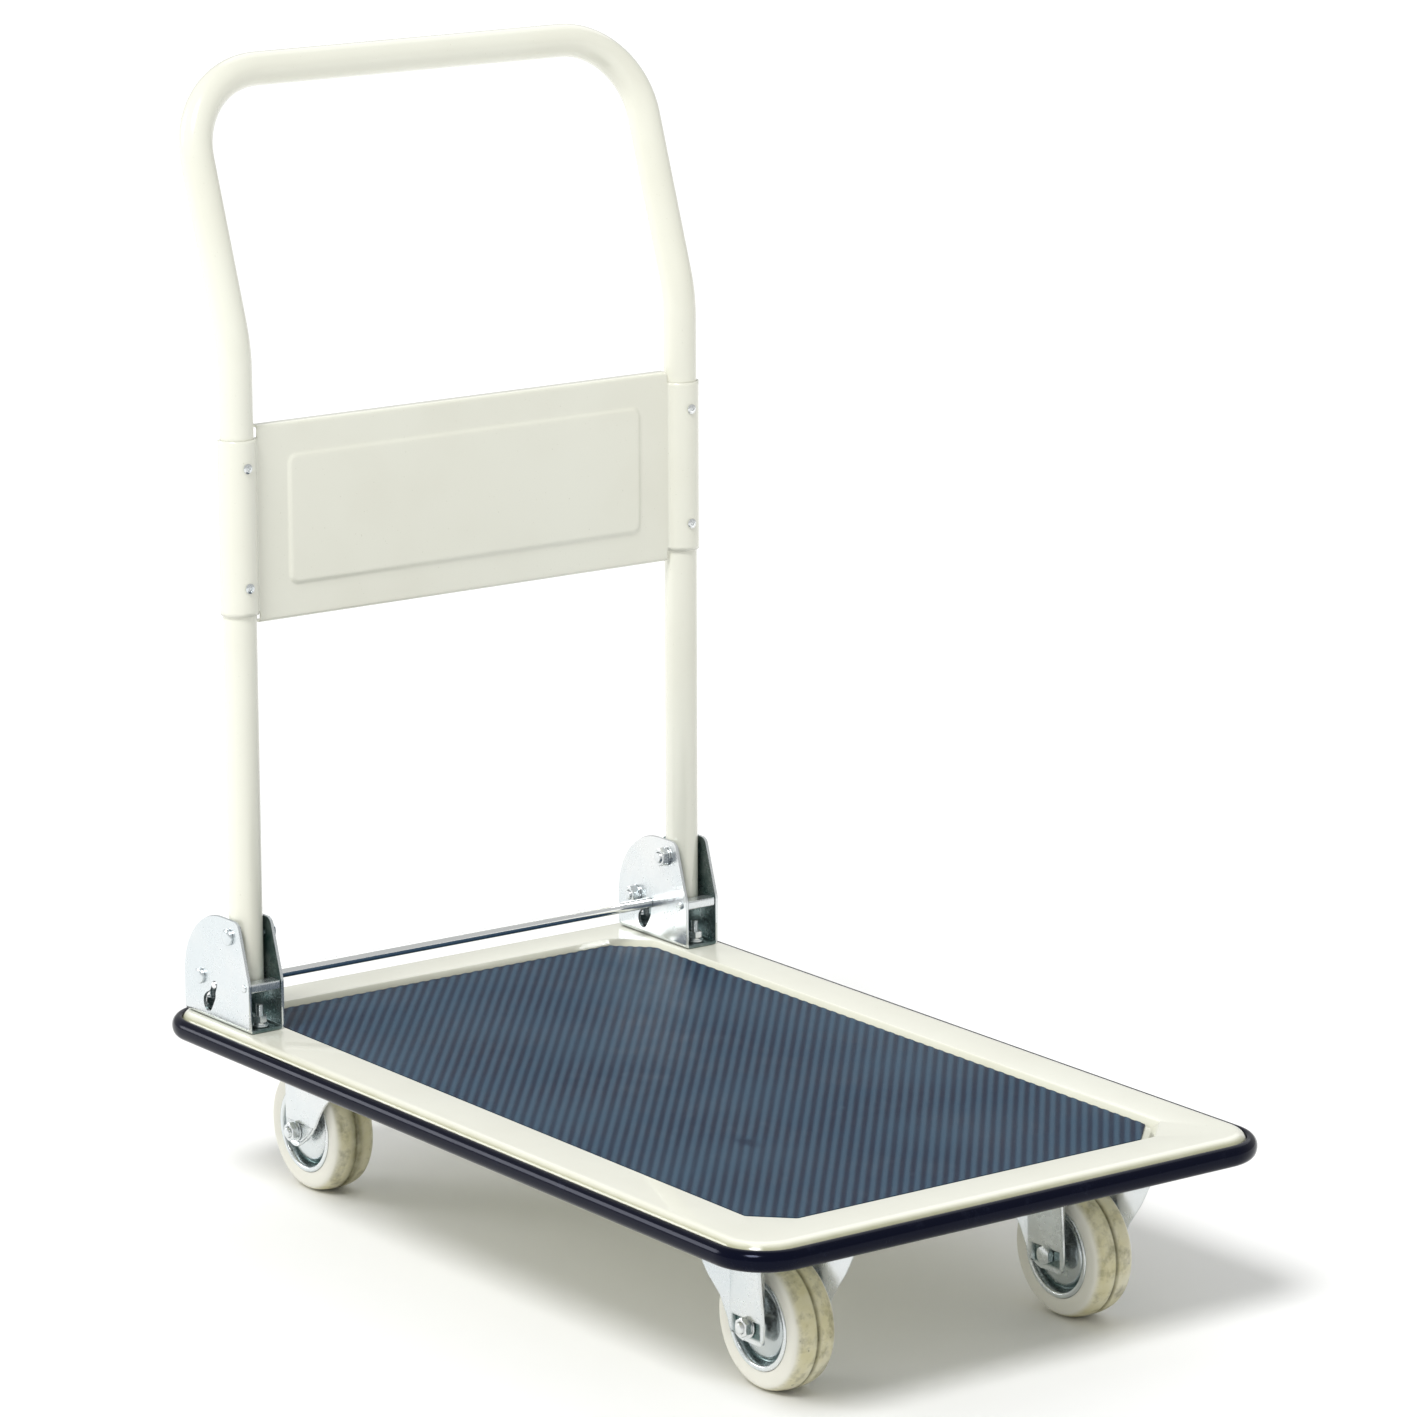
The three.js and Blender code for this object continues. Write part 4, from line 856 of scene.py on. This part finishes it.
def springLine(look, cy):
    # A helix round the rear bolt, with a straight leg leaving each end along the coil's own direction.
    s = np.linspace(0, 1, 130)
    angle = math.radians(look["start"]) + 2 * pi * look["turns"] * s
    helix = np.stack([look["x"] + look["coil"] * np.cos(angle), cy + look["half"] * (2 * s - 1),
                      look["z"] + look["coil"] * np.sin(angle)], 1)
    first = np.array([-math.sin(angle[0]), 0, math.cos(angle[0])])
    last = np.array([-math.sin(angle[-1]), 0, math.cos(angle[-1])])
    before = helix[0] - np.linspace(look["downLeg"], 0.6, 16)[:, None] * first
    after = helix[-1] + np.linspace(0.6, look["upLeg"], 12)[:, None] * last
    return np.vstack([before, helix, after])


for tag, side in sides:
    line = springLine(springLook, side * 206.5)
    addPiece(f"returnSpring_{tag}", [sweep(line, springLook["wire"], 12)], springWire, "deck", f"return_spring_{tag}")
print("rod made")


# The casters.

casterLook = {
    "x": 281.0, "y": 136.0, "trail": 27.0, "axleZ": 50.0, "halfWidth": 17.5, "bore": 34.5, "plateTop": 127.7,
    "plateSheet": 3.0, "legMiddle": 23.45, "legSheet": 2.4,
}
# web: painted shade over the hub web, heavier on the front wheels, which stand under the deck. band: width of the
# darker band along the middle of the tread.
wheelDarkening = {"front": {"band": 1.6, "web": 0.35}, "rear": {"band": 5.0, "web": 0.05}}
tyreRows = [
    (34.5, -16.9), (36.5, -17.25), (40.0, -17.5), (43.6, -17.4), (46.0, -16.4), (47.7, -14.3), (48.9, -11.2),
    (49.6, -7.4), (49.93, -3.4), (49.85, -1.9), (49.2, -1.1), (48.7, -0.4),
]
hubRows = [
    (4.3, -20.5), (7.4, -20.5), (8.5, -20.0), (9.0, -18.8), (9.4, -17.0), (10.6, -16.1), (13.0, -15.8), (19.0, -15.2),
    (23.0, -14.4), (25.0, -13.2), (26.2, -11.2), (27.4, -9.8), (28.6, -10.2), (29.2, -12.0), (29.6, -15.0), (30.1, -17.0),
    (31.0, -17.8), (32.6, -17.98), (33.9, -17.6), (34.2, -16.5),
]


def wheelTyre(rows, centre):
    # A crowned section turned round the axle, with a fine parting groove in the middle of the tread.
    half = smoothCurve(rows, 3)
    return turned([tuple(p) for p in np.vstack([half, (half * [1, -1])[::-1]])], 112, centre, "y", True)


def wheelHub(rows, centre):
    # Broad rolled rim, deep gutter, flat web and bearing boss, the same on both faces.
    half = smoothCurve(rows, 2)
    return turned([tuple(p) for p in np.vstack([half, (half * [1, -1])[::-1]])], 96, centre, "y", True)


def addWheel(prefix, body, x, y, darkening):
    centre = (x, y, casterLook["axleZ"])
    tyre = addPiece(f"{prefix}Tyre", [wheelTyre(tyreRows, centre)], tyreSkin, body, f"{prefix}_tyre", 60)
    hub = addPiece(f"{prefix}Hub", [wheelHub(hubRows, centre)], zinc, body, f"{prefix}_hub", 45)

    def radius(px, pz):
        return np.hypot(px - x, pz - centre[2])

    paintPoints(tyre, "wear", lambda px, py, pz: np.clip((radius(px, pz) - 45.6) / 2.6, 0, 1))
    paintPoints(tyre, "treadMiddle", lambda px, py, pz: np.exp(-((py - y) / darkening["band"]) ** 2) * (radius(px, pz) > 44))
    # Painted shade in the hub's gutter, and over the web by the wheel's web value.
    paintPoints(hub, "shade", lambda px, py, pz: np.maximum(
        np.clip(1.6 - np.abs(radius(px, pz) - 27.4) / 1.9, 0, 1), darkening["web"] * (radius(px, pz) < 27.4)))


def addAxle(prefix, body, x, y, side):
    z = casterLook["axleZ"]
    headY, nutY = y - side * 25.0, y + side * 25.0
    head = hexBody(13.0, -side * 5.0, 0, (x, headY, z), "y")
    shank = turned([(4.0, headY - side * 0.5), (4.0, nutY)], 40, (x, 0, z), "y")
    thread = threadedBar(4.0, 1.25, nutY - side * 0.3, nutY + side * 9.0, (x, 0, z), "y")
    addPiece(f"{prefix}Axle", [head, shank, thread], zinc, body, f"{prefix}_axle")
    ring = washer(4.3, 8.2, nutY, nutY + side * 1.2, (x, 0, z), "y")
    nut = hexBody(13.0, side * 5.6, 4.3, (x, nutY + side * 1.25, z), "y")
    addPiece(f"{prefix}AxleNut", [ring, nut], zinc, body, f"{prefix}_axle_nut")


def slab(halfX, halfY, corner, low, high, cx, cy, ease=0.6):
    # Rounded rectangle plate whose top and bottom edges are eased.
    rows = [(ease, low), (0.15, low + ease * 0.4), (0, low + ease), (0, high - ease), (0.15, high - ease * 0.4), (ease, high)]
    return skin([boxLoop(halfX - d, halfY - d, corner - d, z, cornerSteps=8, sideSteps=3) + [cx, cy, 0] for d, z in rows])


def pocket(x, z, top):
    # 1 on the upper leg and along the rim, easing to 0 in the pad round the axle.
    sideways = np.clip((np.abs(x) - 15.6) / 1.6, 0, 1)
    above = np.clip((z - top) / 1.3, 0, 1)
    lift = np.maximum(sideways, above)
    return lift * lift * (3 - 2 * lift)


def pocketShade(cx, cy, halfX, top):
    # Dark inside the pad on the outward faces only.
    def rule(px, py, pz):
        outward = np.abs(py - cy) > casterLook["legMiddle"] + 0.4
        near = np.clip((halfX - np.abs(px - cx)) / 1.6, 0, 1) * np.clip((top - pz) / 1.6, 0, 1)
        return near * np.clip((pz - 41.0) / 1.5, 0, 1) * outward
    return rule


def rigidLeg(cx, cy, way):
    # Flat leg with a rounded foot; beyond its edges 45 degree wings grow with height. The outward lift is a hyperbola
    # from the bend so that the fold is round.
    z = np.unique(np.concatenate([38 + 11 * (1 - np.cos(np.linspace(0, pi / 2, 12))), np.linspace(49, 60, 14),
                                  np.linspace(60, 126.0, 24)]))
    w = np.where(z < 49, 8 + np.sqrt(np.maximum(11.0 ** 2 - (49 - z) ** 2, 0)), 19.0)
    d = np.interp(z, [38, 50, 57, 68, 84, 101, 112, 127], [0.6, 1.2, 3.0, 5.5, 12.0, 17.0, 20.0, 20.5])
    flat = np.linspace(-1, 1, 39)[None]
    out = np.linspace(0, 1, 9)[None, 1:]
    xFlat = w[:, None] * flat
    grow = d[:, None] * out
    lift = np.sqrt(grow ** 2 + 1.0) - 1.0
    x = np.hstack([-(w[:, None] + grow)[:, ::-1], xFlat, w[:, None] + grow])
    y = np.hstack([lift[:, ::-1], np.zeros_like(xFlat), lift])
    zz = np.broadcast_to(z[:, None], x.shape)
    y = y + 2.8 * pocket(x, zz, 55.0)
    return pressedSheet(np.stack([x + cx, cy + way * (casterLook["legMiddle"] + y), zz], -1), casterLook["legSheet"], 0.3)


def swivelLeg(cx, cy, way):
    # Between a straight rear edge and a swept front edge, given by height; the front part folds in by a tenth.
    front = smoothCurve([(38, 1.5), (39.6, 6), (44, 12), (51, 21), (60, 28), (69, 33), (79, 40), (89, 50), (100, 55), (113, 56)], 8)
    z = np.unique(np.concatenate([38 + 12 * (1 - np.cos(np.linspace(0, pi / 2, 12))), np.linspace(50, 62, 12),
                                  np.linspace(62, 111, 20)]))
    right = np.interp(z, front[:, 0], front[:, 1])
    left = -np.where(z < 50, np.sqrt(np.maximum(144 - (50 - z) ** 2, 2.0)), 12.0)
    s = np.linspace(0, 1, 44)[None]
    x = left[:, None] * (1 - s) + right[:, None] * s
    zz = np.broadcast_to(z[:, None], x.shape)
    edge = np.minimum((x - left[:, None]), (right[:, None] - x))
    rim = np.clip(1 - edge / 3.0, 0, 1)
    below = np.clip((42.0 - zz) / 2.0, 0, 1)
    above = np.clip((zz - 57.0) / 2.0, 0, 1)
    lift = np.maximum.reduce([rim, below, above])
    y = 1.6 * lift * lift * (3 - 2 * lift) - 0.10 * np.clip(x - 21, 0, 40)
    return pressedSheet(np.stack([x + cx, cy + way * (casterLook["legMiddle"] + y), zz], -1), casterLook["legSheet"], 0.3)


for tag, side in sides:
    x, y = casterLook["x"], side * casterLook["y"]
    top, under = casterLook["plateTop"], casterLook["plateTop"] - casterLook["plateSheet"]
    front = f"front_caster_{tag}"
    fork = addPiece(f"{front}Fork", [slab(47, 40, 8, under, top, x, y), rigidLeg(x, y, -1), rigidLeg(x, y, 1)], zinc, "deck",
             f"{front}_fork", 35)
    paintPoints(fork, "shade", pocketShade(x, y, 16.8, 56.4))
    addAxle(front, "deck", x, y, side)
    addWheel(front, f"front_wheel_{tag}", x, y, wheelDarkening["front"])
    rear = f"rear_caster_{tag}"
    wheelX = -x - casterLook["trail"]
    race = turned([(5.4, under - 3.5), (23, under - 3.5), (25.5, under - 3.0), (27, under - 1.4), (27, under + 0.5),
                   (5.4, under + 0.5)], 72, (-x, y, 0), "z", True)
    addPiece(f"{rear}Plate", [slab(47, 40, 8, under, top, -x, y), race], zinc, "deck", f"{rear}_plate", 35)
    crown = turned([(5.4, 108.0), (28.5, 108.0), (30.4, 109.0), (31.0, 111.0), (31.0, 113.5), (29.6, 115.6), (26.4, 116.6),
                    (25.5, 118.2), (24.8, 119.9), (23.4, 120.6), (5.4, 120.6)], 72, (-x, y, 0), "z", True)
    bridge = slab(34, 23.0, 6, 108.0, 111.0, wheelX + 22, y)
    addPiece(f"{rear}Fork", [crown, bridge, swivelLeg(wheelX, y, -1), swivelLeg(wheelX, y, 1)], zinc,
             f"swivel_{tag}", f"{rear}_fork", 35)
    pin = [hexBody(14.0, -5.7, 0, (-x, y, 107.7), "z"), turned([(5.0, 107.0), (5.0, 130.5)], 40, (-x, y, 0), "z"),
           turned([(7.6, 128.1), (7.6, 129.6), (6.6, 130.8), (4.5, 131.1)], 40, (-x, y, 0), "z")]
    addPiece(f"{rear}Kingpin", pin, zinc, "deck", f"{rear}_kingpin")
    addAxle(rear, f"swivel_{tag}", wheelX, y, side)
    addWheel(rear, f"rear_wheel_{tag}", wheelX, y, wheelDarkening["rear"])
print("casters made")

for name in ("deck_channel_front", "deck_channel_rear"):
    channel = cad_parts[name]
    channel.data.materials.clear()
    channel.data.materials.append(cream)


# The studio.

studioLook = {
    "floor": colour(0.95, 0.95, 0.945), "mottle": colour(0.93, 0.93, 0.925),
    "seen": colour(1.0, 1.0, 1.0), "lit": colour(0.97, 0.98, 0.97), "litPower": 0.56,
    "key": {"from": (0.26, -0.54, 0.80), "power": 2.1, "angle": 20.0},
    "side": {"from": (-0.76, -0.58, 0.30), "power": 0.68, "angle": 22.0},
    "top": {"from": (-0.40, 0.45, 0.60), "power": 0.45, "angle": 50.0},
}


def addFloor(look):
    # A wide flat sheet of pale matt board with a very faint mottle.
    edge = 40000.0
    low = [(-edge, -edge, 0), (edge, -edge, 0), (edge, edge, 0), (-edge, edge, 0)]
    mesh = putMesh("floor", [(np.array(low, float), [np.array([[0, 1, 2, 3]])])])
    floor = bpy.data.objects.new("floor", mesh)
    bpy.context.scene.collection.objects.link(floor)
    finish, tree, shader, place = newFinish("paleBoard", {"Roughness": 0.7, "Specular IOR Level": 0.2})
    mottle = span(tree, noiseOf(tree, place, 3.0, 3.0), 0.3, 0.7, 0.0, 0.3)
    wire(tree, shader, base=blendColour(tree, mottle, look["floor"], look["mottle"]))
    mesh.materials.append(finish)


def addSun(name, look):
    # A distant soft source: its angle is how wide it looks from the ground.
    light = bpy.data.lights.new(name, "SUN")
    light.energy, light.angle = look["power"], math.radians(look["angle"])
    lamp = bpy.data.objects.new(name, light)
    bpy.context.scene.collection.objects.link(lamp)
    lamp.rotation_euler = Vector(look["from"]).to_track_quat("Z", "Y").to_euler()


def addSurround(look):
    # White behind the object, and a cooler, weaker fill for what it lights and what reflects in it.
    world = bpy.data.worlds.new("studio")
    world.use_nodes = True
    tree = world.node_tree
    tree.nodes.clear()
    seen = addNode(tree, "ShaderNodeBackground", None, {0: look["seen"]}).outputs[0]
    lit = addNode(tree, "ShaderNodeBackground", None, {0: look["lit"], 1: look["litPower"]}).outputs[0]
    ray = addNode(tree, "ShaderNodeLightPath").outputs["Is Camera Ray"]
    both = addNode(tree, "ShaderNodeMixShader", None, {0: ray, 1: lit, 2: seen}).outputs[0]
    addNode(tree, "ShaderNodeOutputWorld", None, {0: both})
    bpy.context.scene.world = world


def addCamera():
    spot, aim = Vector((3.6880, -2.6940, 1.4870)), Vector((-0.0021, 0.0135, 0.4195))
    camera = bpy.data.objects.new("camera", bpy.data.cameras.new("camera"))
    bpy.context.scene.collection.objects.link(camera)
    camera.data.lens, camera.data.sensor_width = 160.9, 36.0
    camera.data.clip_end = 200.0
    camera.location = spot
    turn = (aim - spot).to_track_quat("-Z", "Y").to_matrix() @ Matrix.Rotation(math.radians(-0.15), 3, "Z")
    camera.rotation_euler = turn.to_euler()
    bpy.context.scene.camera = camera


addFloor(studioLook)
addSun("keySun", studioLook["key"])
addSun("sideSun", studioLook["side"])
addSun("topSun", studioLook["top"])
addSurround(studioLook)
bpy.context.scene.view_settings.view_transform = "Standard"
addCamera()

print("scene ready")
